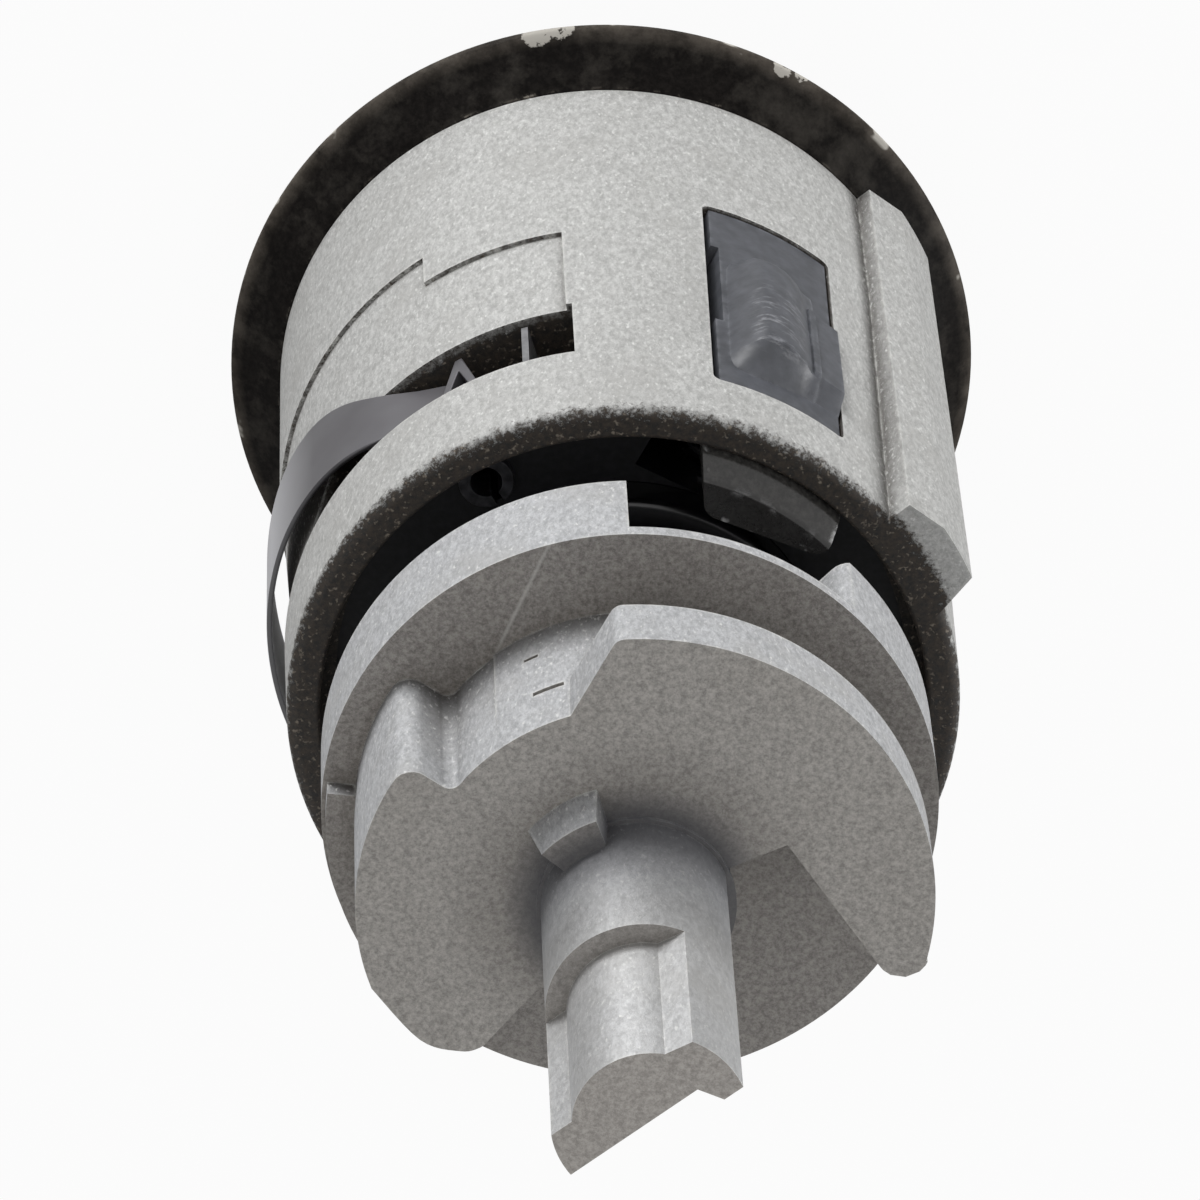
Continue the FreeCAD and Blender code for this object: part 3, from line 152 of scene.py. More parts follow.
def placed(thing, turn, shift=(0, 0, 0), tilt=Matrix.Identity(4)):
    """Turns a mesh about the axis and then moves it, in its own points."""
    move = Matrix.Translation(Vector(shift) * MM) @ Matrix.Rotation(math.radians(turn), 4, "Z") @ tilt
    thing.data.transform(move)
    return thing


def combine(thing, operation, *tools):
    """Joins tools to a mesh or cuts them from it, and removes the tools."""
    for tool in tools:
        step = thing.modifiers.new("combine", "BOOLEAN")
        step.operation = operation
        step.solver = "EXACT"
        step.object = tool
        seen = thing.evaluated_get(bpy.context.evaluated_depsgraph_get())
        made = bpy.data.meshes.new_from_object(seen)
        thing.modifiers.remove(step)
        thing.data = made
        bpy.data.objects.remove(tool)
    return thing


def cut(thing, *tools):
    return combine(thing, "DIFFERENCE", *tools)


def join(thing, *tools):
    return combine(thing, "UNION", *tools)


def keep_inside(thing, *tools):
    return combine(thing, "INTERSECT", *tools)


def cleaned(thing):
    """Merges flat neighbours and doubled points that the cuts leave."""
    work = bmesh.new()
    work.from_mesh(thing.data)
    bmesh.ops.remove_doubles(work, verts=work.verts, dist=0.01 * MM)
    bmesh.ops.dissolve_limit(work, angle_limit=math.radians(0.3), verts=work.verts, edges=work.edges)
    bmesh.ops.recalc_face_normals(work, faces=work.faces)
    work.to_mesh(thing.data)
    work.free()
    return thing


def rounded(thing, width, segments=2):
    """Rounds the edges sharper than 28 degrees and shades what is left smoothly."""
    for face in thing.data.polygons:
        face.use_smooth = True
    bevel = thing.modifiers.new("edges", "BEVEL")
    bevel.width = width * MM
    bevel.segments = segments
    bevel.limit_method = "ANGLE"
    bevel.angle_limit = math.radians(28)
    bevel.harden_normals = False
    bevel.miter_outer = "MITER_ARC"
    even = thing.modifiers.new("shading", "WEIGHTED_NORMAL")
    even.keep_sharp = True
    even.weight = 80
    return thing


def paint(material, *nodes):
    """Gives a finish to nodes of the CAD model."""
    for node in nodes:
        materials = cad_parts[node].data.materials
        materials.clear()
        materials.append(material)


def dress(thing, body, material, node):
    """Gives a piece its material, its body and the CAD node it stands for."""
    thing.data.materials.clear()
    thing.data.materials.append(material)
    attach(thing, body)
    paint(material, node)
    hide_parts(node)


def linear(code):
    """Linear colour from an sRGB hex code."""
    parts = [int(code[i:i + 2], 16) / 255 for i in (1, 3, 5)]
    return tuple(c / 12.92 if c <= 0.04045 else ((c + 0.055) / 1.055) ** 2.4 for c in parts) + (1.0,)


def add(tree, kind, values=(), out=None, **settings):
    """Adds a shader node and gives its named output, or else the first one in use. Values, or the
    sockets that feed them, go to inputs by name, or in order from a list."""
    made = tree.nodes.new("ShaderNode" + kind)
    for key, value in settings.items():
        setattr(made, key, value)
    if isinstance(values, dict):
        pairs = [(made.inputs[key], value) for key, value in values.items()]
    else:
        pairs = zip([socket for socket in made.inputs if socket.enabled], values)
    for port, value in pairs:
        if isinstance(value, bpy.types.NodeSocket):
            tree.links.new(value, port)
        else:
            port.default_value = value
    if out:
        return made.outputs[out]
    return next((socket for socket in made.outputs if socket.enabled), None)


def begin(name):
    """Empty material and the sockets its recipe starts from."""
    made = bpy.data.materials.new(name)
    made.use_nodes = True
    tree = made.node_tree
    tree.nodes.clear()
    return made, tree, add(tree, "TexCoord", out="Object")


def worn_edges(tree, width):
    """1 on outward edges within a width in millimetres, 0 on flat skin."""
    soft = add(tree, "Bevel", {"Radius": width * MM}, samples=4)
    flat = add(tree, "NewGeometry", out="Normal")
    same = add(tree, "VectorMath", (soft, flat), operation="DOT_PRODUCT")
    return add(tree, "MapRange", (same, 0.995, 0.9))


def crevices(tree, reach, open_from=0.8, shut_from=0.3):
    """1 deep in corners within a reach in millimetres, 0 on open skin."""
    shade = add(tree, "AmbientOcclusion", {"Distance": reach * MM}, out="AO", samples=6)
    return add(tree, "MapRange", (shade, open_from, shut_from))


def distance(tree, place):
    """Distance from the key's axis, and height, in metres."""
    across = add(tree, "VectorMath", (place, (1, 1, 0)), operation="MULTIPLY")
    radius = add(tree, "VectorMath", (across,), operation="LENGTH")
    return radius, add(tree, "SeparateXYZ", (place,), out="Z")


def rearward(tree):
    """How far the skin faces the rear, from -1 to 1."""
    skin = add(tree, "TexCoord", out="Normal")
    return add(tree, "SeparateXYZ", (skin,), out="Z")


def finish(made, tree, colour, roughness, bump, metallic=0.0, strength=0.4, depth=0.05, shine=0.5):
    """Shader and output, with a fine relief of a depth in millimetres."""
    relief = add(tree, "Bump", {"Height": bump, "Strength": strength, "Distance": depth * MM})
    shader = add(tree, "BsdfPrincipled", {
        "Base Color": colour, "Roughness": roughness, "Metallic": metallic,
        "Specular IOR Level": shine, "Normal": relief,
    })
    add(tree, "OutputMaterial", {"Surface": shader})
    return made


def cast_zinc(name, pale, dark, stain, grime_and_shade_colour):
    """Tumbled zinc die casting: a matt pale grey with sparkling grain, slow stains, brown dirt with
    painted shade in its corners, and edges rubbed bright. Real grain is about 0.1 mm and too fine to
    show, so it is drawn at 0.3 mm, turned and stretched to keep the noise's lattice out of sight."""
    made, tree, place = begin(name)
    drawn = add(tree, "VectorMath", (place, (1, 1, 0.5)), operation="MULTIPLY")
    drawn = add(tree, "Mapping", {"Vector": drawn, "Rotation": (0.6, 0.5, 0.4)})
    speckle = add(tree, "TexNoise", (drawn, 1 / (0.3 * MM), 5.0, 0.85))
    grain = add(tree, "MapRange", (speckle, 0.38, 0.62))
    colour = add(tree, "Mix", (grain, linear(dark), linear(pale)), data_type="RGBA")

    # Slow stains, and brown dirt with painted shade, darker where occlusion is, in wide hollows and in tight
    # seams.
    slow = add(tree, "TexNoise", (place, 1 / (5.0 * MM), 4.0, 0.6))
    stained = add(tree, "MapRange", (slow, 0.5, 0.95))
    colour = add(tree, "Mix", (stained, colour, linear(stain)), data_type="RGBA")
    hollow_grime_and_shade = add(tree, "Math", (crevices(tree, 7.0), 0.9), operation="MULTIPLY")
    colour = add(tree, "Mix", (hollow_grime_and_shade, colour, linear(grime_and_shade_colour)), data_type="RGBA")
    coarse = add(tree, "TexNoise", (place, 1 / (0.9 * MM)))
    patchy = add(tree, "MapRange", (coarse, 0.15, 0.5))
    seam_grime_and_shade = add(tree, "Math", (crevices(tree, 0.9, 0.9, 0.45), patchy), operation="MULTIPLY")
    colour = add(tree, "Mix", (seam_grime_and_shade, colour, linear(grime_and_shade_colour)), data_type="RGBA")

    # Bright flecks of bare metal, and edges that the tumbling has rubbed.
    flecks = add(tree, "TexNoise", (drawn, 1 / (0.2 * MM)))
    flecks = add(tree, "MapRange", (flecks, 0.6, 0.75))
    flecks = add(tree, "Math", (flecks, 0.6), operation="MULTIPLY")
    colour = add(tree, "Mix", (flecks, colour, linear("#F0F0EE")), data_type="RGBA")
    rubbed = add(tree, "MapRange", (coarse, 0.35, 0.65))
    rubbed = add(tree, "Math", (worn_edges(tree, 0.3), rubbed), operation="MULTIPLY")
    colour = add(tree, "Mix", (rubbed, colour, linear("#DCDCD8")), data_type="RGBA")
    roughness = add(tree, "MapRange", {"Value": speckle, "To Min": 0.52, "To Max": 0.77})
    return made, tree, place, colour, roughness, speckle


def sleeve_casting():
    """The sleeve's own skin: a dark crust of dirt and painted shade lies in its mouth and over its end
    face towards the mouth, painted shade thickens it at the end face's sides, and dirt with painted
    shade lies in a thin broken line along the rear-facing steps of the leaf's seat and other ledges."""
    made, tree, place, colour, roughness, speckle = cast_zinc(
        "tumbled_zinc_sleeve", "#D0D0CE", "#A6A6A4", "#AEADAA", "#3A332C",
    )
    radius, height = distance(tree, place)
    mouth = add(tree, "MapRange", (radius, 16.8 * MM, 16.1 * MM))

    # On the end face it thins out from the mouth, and painted shade makes it thicker at the sides than on the
    # rib.
    painted_side_shade = add(tree, "SeparateXYZ", (place,), out="X")
    painted_side_shade = add(tree, "Math", (painted_side_shade,), operation="ABSOLUTE")
    painted_side_shade = add(tree, "MapRange", (painted_side_shade, 8 * MM, 14 * MM))
    off_rib = add(tree, "MapRange", (radius, 17.6 * MM, 17.1 * MM))
    painted_side_shade = add(tree, "Math", (painted_side_shade, off_rib), operation="MULTIPLY")
    painted_side_shade = add(tree, "Math", (painted_side_shade, 0.32), operation="MULTIPLY")
    inward = add(tree, "MapRange", (radius, 18.1 * MM, 16.1 * MM))
    inward = add(tree, "Math", (inward, 0.9), operation="MULTIPLY")
    end = add(tree, "Math", (inward, painted_side_shade), operation="ADD")
    at_end = add(tree, "MapRange", (height, 44.3 * MM, SLEEVE_REAR * MM))
    end = add(tree, "Math", (at_end, end), operation="MULTIPLY")

    # Every rear-facing ledge below the end is darkened a little, as dirt and painted shade.
    ledge_dirt_and_shade = add(tree, "MapRange", (rearward(tree), 0.3, 0.7))
    off_end = add(tree, "MapRange", (height, 42 * MM, 41 * MM))
    ledge_dirt_and_shade = add(tree, "Math", (ledge_dirt_and_shade, off_end), operation="MULTIPLY")
    ledge_dirt_and_shade = add(tree, "Math", (ledge_dirt_and_shade, 0.45), operation="MULTIPLY")

    # A ragged noise breaks the borders, and the crust of dirt and painted shade is black and brown with a few
    # glints.
    where = add(tree, "Math", (mouth, end), operation="MAXIMUM")
    where = add(tree, "Math", (where, ledge_dirt_and_shade), operation="MAXIMUM")
    ragged = add(tree, "TexNoise", (place, 1 / (0.36 * MM), 5.0, 0.8))
    spread = add(tree, "MapRange", (ragged, 0.3, 0.7, -0.4, 0.4))
    dirt_and_shade = add(tree, "Math", (where, spread), operation="ADD")
    dirt_and_shade = add(tree, "MapRange", (dirt_and_shade, 0.32, 0.68))
    crust = add(tree, "MapRange", (ragged, 0.4, 0.7))
    skin = add(tree, "Mix", (crust, linear("#0B0907"), linear("#41382F")), data_type="RGBA")
    glints = add(tree, "TexNoise", (place, 1 / (0.25 * MM)))
    glints = add(tree, "MapRange", (glints, 0.6, 0.74))
    skin = add(tree, "Mix", (glints, skin, linear("#857C70")), data_type="RGBA")
    colour = add(tree, "Mix", (dirt_and_shade, colour, skin), data_type="RGBA")
    return finish(made, tree, colour, roughness, speckle, metallic=0.15, strength=0.5)


def slot_run_out():
    """Tapered end of the leaf's slot, where its front edge climbs to its rear edge."""
    verts = []
    for radius in (OUTSIDE, SLEEVE_BORE - 1):
        for angle, height in ((-34, SLOT_FRONT), (-33, SLOT_FRONT), (-17, SLOT_REAR), (-34, SLOT_REAR)):
            verts.append((*polar(radius, angle), height))
    sides = [(0, 1, 5, 4), (1, 2, 6, 5), (2, 3, 7, 6), (3, 0, 4, 7)]
    return solid("run_out", verts, [(0, 1, 2, 3), (4, 5, 6, 7)] + sides)


sleeve = revolved([
    (SLEEVE_BORE, NOSE_FRONT), (NOSE_RADIUS, NOSE_FRONT), (NOSE_RADIUS, SLEEVE_FRONT),
    (SLEEVE_RADIUS, SLEEVE_FRONT), (SLEEVE_RADIUS, DRAFT_FRONT),
    *eased((SLEEVE_REAR_RADIUS, 30), (SLEEVE_REAR_RADIUS, SLEEVE_REAR), (MOUTH_RADIUS, SLEEVE_REAR), 0.6),
    *eased((SLEEVE_REAR_RADIUS, SLEEVE_REAR), (MOUTH_RADIUS, SLEEVE_REAR), (MOUTH_RADIUS, 42), 0.25, 3),
    (MOUTH_RADIUS, MOUTH_FLOOR), (SLEEVE_BORE, MOUTH_FLOOR),
], "die_cast_sleeve")
rib = prism(
    arc(RIB_FOOT, RIB_START, RIB_END) + [polar(RIB_RADIUS, -156.5)] + arc(RIB_RADIUS, -156.5, -147.0)[1:]
    + [polar(RIB_RADIUS - RIB_STEP, RIB_START)], SLEEVE_FRONT, SLEEVE_REAR,
)
join(sleeve, rib)
corners = [
    (-WINDOW_HALF_WIDTH, WINDOW_FRONT), (WINDOW_HALF_WIDTH, WINDOW_FRONT),
    (WINDOW_HALF_WIDTH, WINDOW_REAR), (-WINDOW_HALF_WIDTH, WINDOW_REAR),
]
window = []
for i, corner in enumerate(corners):
    window += eased(corners[i - 1], corner, corners[(i + 1) % 4], WINDOW_CORNER, 4)
seat = join(
    sector(SLEEVE_BORE, OUTSIDE, *SEAT, SEAT_FRONT, SLOT_REAR),
    sector(SLEEVE_BORE, OUTSIDE, *SEAT_SIDE, SEAT_SIDE_FRONT, SLOT_REAR - 0.01),
)
keep_inside(seat, revolved(SEAT_DRAFT))
cut(
    sleeve,
    seat,
    sector(SLEEVE_BORE - 1, OUTSIDE, *HOOK_SLOT, SLOT_FRONT, SLOT_REAR),
    slot_run_out(),
    sector(SLEEVE_BORE - 1, OUTSIDE, *FAR_SLOT, SLOT_FRONT - SLOT_SKEW, SLOT_REAR - SLOT_SKEW),
    placed(prism(window, 13.0, OUTSIDE, "window"), LATCH_ANGLE, tilt=UPRIGHT),
)
dress(rounded(cleaned(sleeve), 0.28, 3), "sleeve", sleeve_casting(), "lock_sleeve")

# Bezel: a steel cap, pressed and painted satin black, that grips the sleeve's nose. It widens from
# the flat ring it stands on to its rim, and its back is dished.
BEZEL_RADIUS = 20.0
BEZEL_FACE = 17.1
BEZEL_OPENING = 9.93
FACE_STEP = 9.43
RIM_FRONT = 5.4
RIM_REAR = 5.75
BEZEL_BACK = ((19.65, 6.1), (18.65, 6.9), (17.9, 7.6), (17.35, 8.0))
RIM_CHIPS = (
    ((3.7, -19.7, 5.6), 1.2), ((2.5, -19.9, 5.6), 1.0), ((-9.4, -17.6, 5.6), 0.8), ((-10.4, -17.1, 5.6), 0.6),
)


def curve(points, steps):
    """Smooth line through the points, with a few points between each pair."""
    made = []
    last = len(points) - 1
    for i in range(last):
        before, a, b, after = (Vector(points[min(max(k, 0), last)]) for k in (i - 1, i, i + 1, i + 2))
        for k in range(steps):
            t = k / steps
            made.append(0.5 * (2 * a + (b - before) * t + (2 * before - 5 * a + 4 * b - after) * t * t
                               + (3 * a - before - 3 * b + after) * t ** 3))
    return made + [Vector(points[last])]


def near(tree, place, spot, reach):
    """1 close to a point, given in millimetres, and 0 beyond a reach."""
    away = add(tree, "VectorMath", (place, Vector(spot) * MM), operation="DISTANCE")
    return add(tree, "MapRange", (away, reach * MM, 0.5 * reach * MM))


def worn_paint():
    """Stoved satin black paint on steel: nearly matt, with brown dust in its dish, a patchy pale band
    along the rim that is a painted highlight, and chipped to bare metal there in a few places."""
    made, tree, place = begin("satin_black_paint_worn")
    radius, _ = distance(tree, place)
    grain = add(tree, "TexNoise", (place, 1 / (0.4 * MM), 4.0, 0.7))
    share = add(tree, "MapRange", (grain, 0.4, 0.75))
    colour = add(tree, "Mix", (share, linear("#131110"), linear("#272422")), data_type="RGBA")

    # Dust in the dish, and a patchy pale band along the rim that is a painted highlight.
    dust = add(tree, "TexNoise", (place, 1 / (3.0 * MM), 6.0, 0.7))
    dusty = add(tree, "MapRange", (dust, 0.48, 0.7))
    dusty = add(tree, "Math", (dusty, 0.5), operation="MULTIPLY")
    colour = add(tree, "Mix", (dusty, colour, linear("#54504B")), data_type="RGBA")
    painted_rim_highlight = add(tree, "MapRange", (radius, 19.3 * MM, 19.85 * MM))
    patchy = add(tree, "MapRange", (dust, 0.3, 0.6))
    rubbed = add(tree, "Math", (painted_rim_highlight, patchy), operation="MULTIPLY")
    rubbed = add(tree, "Math", (rubbed, 0.6), operation="MULTIPLY")
    colour = add(tree, "Mix", (rubbed, colour, linear("#6A635B")), data_type="RGBA")

    # Worn edges, a few small chips anywhere on the rim, and the chips that the photograph shows.
    chips = add(tree, "TexNoise", (place, 1 / (1.6 * MM), 5.0, 0.75))
    broken = add(tree, "MapRange", (chips, 0.5, 0.58))
    edge = add(tree, "Math", (worn_edges(tree, 0.45), broken), operation="MULTIPLY")
    colour = add(tree, "Mix", (edge, colour, linear("#8F887E")), data_type="RGBA")
    chipped = add(tree, "TexNoise", (place, 1 / (3.0 * MM), 3.0))
    chipped = add(tree, "MapRange", (chipped, 0.64, 0.67))
    on_edge = add(tree, "MapRange", (radius, 19.7 * MM, 19.85 * MM))
    chipped = add(tree, "Math", (chipped, on_edge), operation="MULTIPLY")
    outline = add(tree, "MapRange", (chips, 0.3, 0.6))
    for spot, reach in RIM_CHIPS:
        bare = add(tree, "Math", (near(tree, place, spot, reach), outline), operation="MULTIPLY")
        bare = add(tree, "MapRange", (bare, 0.3, 0.4))
        chipped = add(tree, "Math", (chipped, bare), operation="MAXIMUM")
    colour = add(tree, "Mix", (chipped, colour, linear("#C0BCB4")), data_type="RGBA")
    return finish(made, tree, colour, 0.5, grain, strength=0.3, depth=0.03, shine=0.04)


bezel = revolved([
    (BEZEL_OPENING, 0.0), *eased((12, 0), (BEZEL_FACE, 0), (BEZEL_RADIUS, RIM_FRONT), 1.6),
    (BEZEL_RADIUS, RIM_FRONT), (BEZEL_RADIUS, RIM_REAR), *[tuple(point) for point in curve(BEZEL_BACK, 4)],
    (16.0, SLEEVE_FRONT), (16.0, NOSE_FRONT), (FACE_STEP, NOSE_FRONT), (FACE_STEP, 0.5),
], "bezel_cap_painted")
dress(rounded(bezel, 0.12), "sleeve", worn_paint(), "bezel_cap")

# Leaf spring and slot blade: a blued steel strip bowed over the seat, its two tongues bent down
# into the slots, the visible one folded to catch there. Beside it stands a thin blanked blade.
STRIP = 0.3
LEAF_MIDDLE = 6.0
LEAF_HALF_ANGLE = 64
HOOK_ANGLE = -59.5
BOW = ((0.0, 17.97), (24.0, 17.95), (40.0, 17.6), (50.0, 16.95), (57.0, 16.0), (64.0, 15.2))
EDGE_FRONT = (
    (-17.0, 33.95), (-13.9, 33.95), (-9.45, 30.15), (0.0, 29.2), (9.45, 29.43), (13.9, 30.35), (17.0, 30.35),
)
EDGE_REAR = (
    (-17.0, 38.55), (-13.9, 38.55), (-9.45, 37.28), (0.0, 36.0), (9.45, 35.18), (13.9, 34.95), (17.0, 34.95),
)
FOLD = ((1.3, 38.5), (0.9, 38.5), (0.0, 35.2), (-0.9, 38.5), (-1.3, 38.5), (-0.2, 33.95), (0.2, 33.95))


def along(points, where):
    """Height of a line of (place, height) points at a place."""
    for a, b in zip(points, points[1:]):
        if where <= b[0]:
            return a[1] + (b[1] - a[1]) * (where - a[0]) / (b[0] - a[0])
    return points[-1][1]


def spring_strip():
    """Spring strip, rolled smooth and blued: bluish grey, painted pale and less metallic over one side
    as a painted highlight, with its rear-facing edges painted dark as painted shade."""
    made, tree, place = begin("blued_spring_strip")
    grain = add(tree, "TexNoise", (place, 1 / (6.0 * MM), 3.0))
    share = add(tree, "MapRange", (grain, 0.35, 0.7))
    colour = add(tree, "Mix", (share, linear("#777579"), linear("#8A898D")), data_type="RGBA")
    side = add(tree, "SeparateXYZ", (place,), out="Y")
    # Painted highlight: from y = -8.5 mm on, the strip turns pale and less metallic.
    bright = add(tree, "MapRange", (side, -8.5 * MM, -3.0 * MM))
    colour = add(tree, "Mix", (bright, colour, linear("#D6D6DA")), data_type="RGBA")
    # Painted shade: faces towards the rear turn dark, except on the hooked tongue.
    rear_edge_shade = add(tree, "MapRange", (rearward(tree), 0.5, 0.8))
    off_tongue = add(tree, "MapRange", (side, -13.0 * MM, -10.0 * MM))
    rear_edge_shade = add(tree, "Math", (rear_edge_shade, off_tongue), operation="MULTIPLY")
    rear_edge_shade = add(tree, "Math", (rear_edge_shade, 0.85), operation="MULTIPLY")
    colour = add(tree, "Mix", (rear_edge_shade, colour, linear("#2B2A2C")), data_type="RGBA")
    metallic = add(tree, "MapRange", {"Value": bright, "To Min": 0.6, "To Max": 0.05})
    return finish(made, tree, colour, 0.3, grain, metallic, strength=0.05, depth=0.02)


def plain(name, colour, second, size, roughness, metallic=0.0):
    """Two-tone finish with a matching fine relief, for a size of grain in millimetres."""
    made, tree, place = begin(name)
    grain = add(tree, "TexNoise", (place, 1 / (size * MM), 3.0))
    share = add(tree, "MapRange", (grain, 0.35, 0.7))
    mix = add(tree, "Mix", (share, linear(colour), linear(second)), data_type="RGBA")
    return finish(made, tree, mix, roughness, grain, metallic, strength=0.2, depth=0.02)


bow_line = curve(BOW, 8)
front_line = curve(EDGE_FRONT, 8)
rear_line = curve(EDGE_REAR, 8)
verts = []
faces = []
count = 96
for i in range(count + 1):
    angle = -LEAF_HALF_ANGLE + 2 * LEAF_HALF_ANGLE * i / count
    radius = along(bow_line, abs(angle))
    side = SLEEVE_RADIUS * math.sin(math.radians(angle))
    for r, z in (
        (radius, along(front_line, side)), (radius, along(rear_line, side)),
        (radius - STRIP, along(rear_line, side)), (radius - STRIP, along(front_line, side)),
    ):
        verts.append((*polar(r, angle + LEAF_MIDDLE), z))
    if i < count:
        faces += [(4 * i + k, 4 * i + (k + 1) % 4, 4 * i + 4 + (k + 1) % 4, 4 * i + 4 + k) for k in range(4)]
faces += [(0, 1, 2, 3), (4 * count, 4 * count + 1, 4 * count + 2, 4 * count + 3)]
leaf = solid("bowed_leaf", verts, faces)
join(leaf, placed(prism(FOLD, 14.4, 16.3, "hook"), HOOK_ANGLE, tilt=UPRIGHT))
dress(rounded(cleaned(leaf), 0.06), "sleeve", spring_strip(), "leaf_spring")

# Bare blanked strip: plain grey with a dull sheen.
paint(plain("blanked_strip_steel", "#8A8A8C", "#A8A8AA", 0.5, 0.35, 0.7), "slot_blade")

# Lock body, bush and slit pin: in the sleeve's mouth show the end of the inner zinc body, dark with
# oil and lock grease, the black moulded acetal bush pressed into it, and a pin rolled from steel.
BODY_PIN_ANGLE = -56.4
BODY_PIN_RADIUS = 12.5
PIN_OUTER = 1.4
PIN_INNER = 0.8
PIN_FRONT = 28.6
PIN_REAR = 40.6
BUSH_BORE = 8.6
BUSH_RADIUS = 10.17
BUSH_FRONT = 37.5
BUSH_REAR = 42.2


def block(x_low, x_high, y_low, y_high, low, high, name="block"):
    """Box between two places on each axis."""
    return prism([(x_low, y_low), (x_high, y_low), (x_high, y_high), (x_low, y_high)], low, high, name)


def dark_casting():
    """Zinc casting under old grease: nearly black, with a low oily sheen."""
    made, tree, place = begin("greased_dark_zinc")
    grain = add(tree, "TexNoise", (place, 1 / (0.4 * MM), 3.0))
    share = add(tree, "MapRange", (grain, 0.4, 0.8))
    colour = add(tree, "Mix", (share, linear("#08080A"), linear("#1C1C20")), data_type="RGBA")
    return finish(made, tree, colour, 0.45, grain, shine=0.35)


paint(dark_casting(), "lock_body")

# Moulded acetal: near black, smooth and waxy.
acetal = plain("black_moulded_acetal", "#0B0B0D", "#151518", 0.7, 0.25)
bush = revolved([
    (BUSH_BORE, BUSH_FRONT), (BUSH_RADIUS, BUSH_FRONT), (BUSH_RADIUS, BUSH_REAR), (BUSH_BORE, BUSH_REAR),
], "acetal_bush")
dress(rounded(bush, 0.45, 3), "sleeve", acetal, "bearing_bush")

# Rolled steel under oil: dark, with a soft gleam.
pin_steel = plain("oiled_rolled_steel", "#2A2A2C", "#4C4C50", 0.5, 0.35, 0.6)
pin = revolved([
    (PIN_INNER, PIN_FRONT), (PIN_OUTER, PIN_FRONT), (PIN_OUTER, PIN_REAR), (PIN_INNER, PIN_REAR),
], "rolled_pin", 60)
cut(pin, block(-1.5, 0, -0.2, 0.2, 28, 41))
placed(pin, BODY_PIN_ANGLE, (*polar(BODY_PIN_RADIUS, BODY_PIN_ANGLE), 0))
dress(rounded(cleaned(pin), 0.12), "sleeve", pin_steel, "body_pin")

# Latch and its coil: one moulding of glass-filled nylon, pushed outward by a coil. Its field and
# ramped bump show in the window, and its slanted block stands in the sleeve's mouth. The plate
# between them slides under the sleeve.
LATCH_CREST = SLEEVE_BORE - 0.15
LATCH_FRONT = 19.9
LATCH_REAR = 45.4
LATCH_ROOT = 13.3
LATCH_TOP = 18.5
FIELD_LOW = -3.575
FIELD_HIGH = 3.325
SHELF_HIGH = -1.7
BEAD_LOW = -2.05
BEAD_HIGH = -1.65
BUMP_FOOT = 16.35
BUMP_HEIGHT = 2.15
BUMP_ACROSS = (
    (-2.05, 0.55), (-1.5, 0.62), (-0.9, 0.8), (0.0, 0.97), (0.9, 1.0), (1.6, 0.92), (2.3, 0.5), (2.85, 0.0),
)
BUMP_ALONG = (
    (25.8, 0.0), (26.6, 0.35), (27.6, 0.85), (28.8, 1.0), (31, 1.03), (36.8, 1.03), (37.8, 0.85), (39.4, 0.0),
)
SHELF = ((1.0, 28.6), (16.9, 28.6), (17.7, 30.0), (17.7, 37.2), (16.8, 38.7), (1.0, 38.7))
BEAD_RISE = 0.17


def disc(radius, low, high, name="disc"):
    """Round plate about the axis."""
    return prism(arc(radius, 0, 358), low, high, name)


def pillow(across, lengthwise, foot, height):
    """Soft mound on a plinth, its rise the product of two (place, share) lines."""
    verts = []
    for z, second in lengthwise:
        for y, first in across:
            verts.append((foot + height * first * second, y, z))
    top = len(verts)
    verts += [(LATCH_ROOT, y, z) for z, _ in lengthwise for y, _ in across]
    wide, long = len(across), len(lengthwise)
    faces = []
    for i in range(long - 1):
        for k in range(wide - 1):
            square = [i * wide + k, i * wide + k + 1, (i + 1) * wide + k + 1, (i + 1) * wide + k]
            faces += [tuple(square), tuple(top + corner for corner in square)]
    border = list(range(wide)) + [i * wide + wide - 1 for i in range(1, long)]
    border += [wide * long - 2 - k for k in range(wide - 1)] + [i * wide for i in range(long - 2, 0, -1)]
    for a, b in zip(border, border[1:] + border[:1]):
        faces.append((a, b, top + b, top + a))
    return solid("bump", verts, faces)


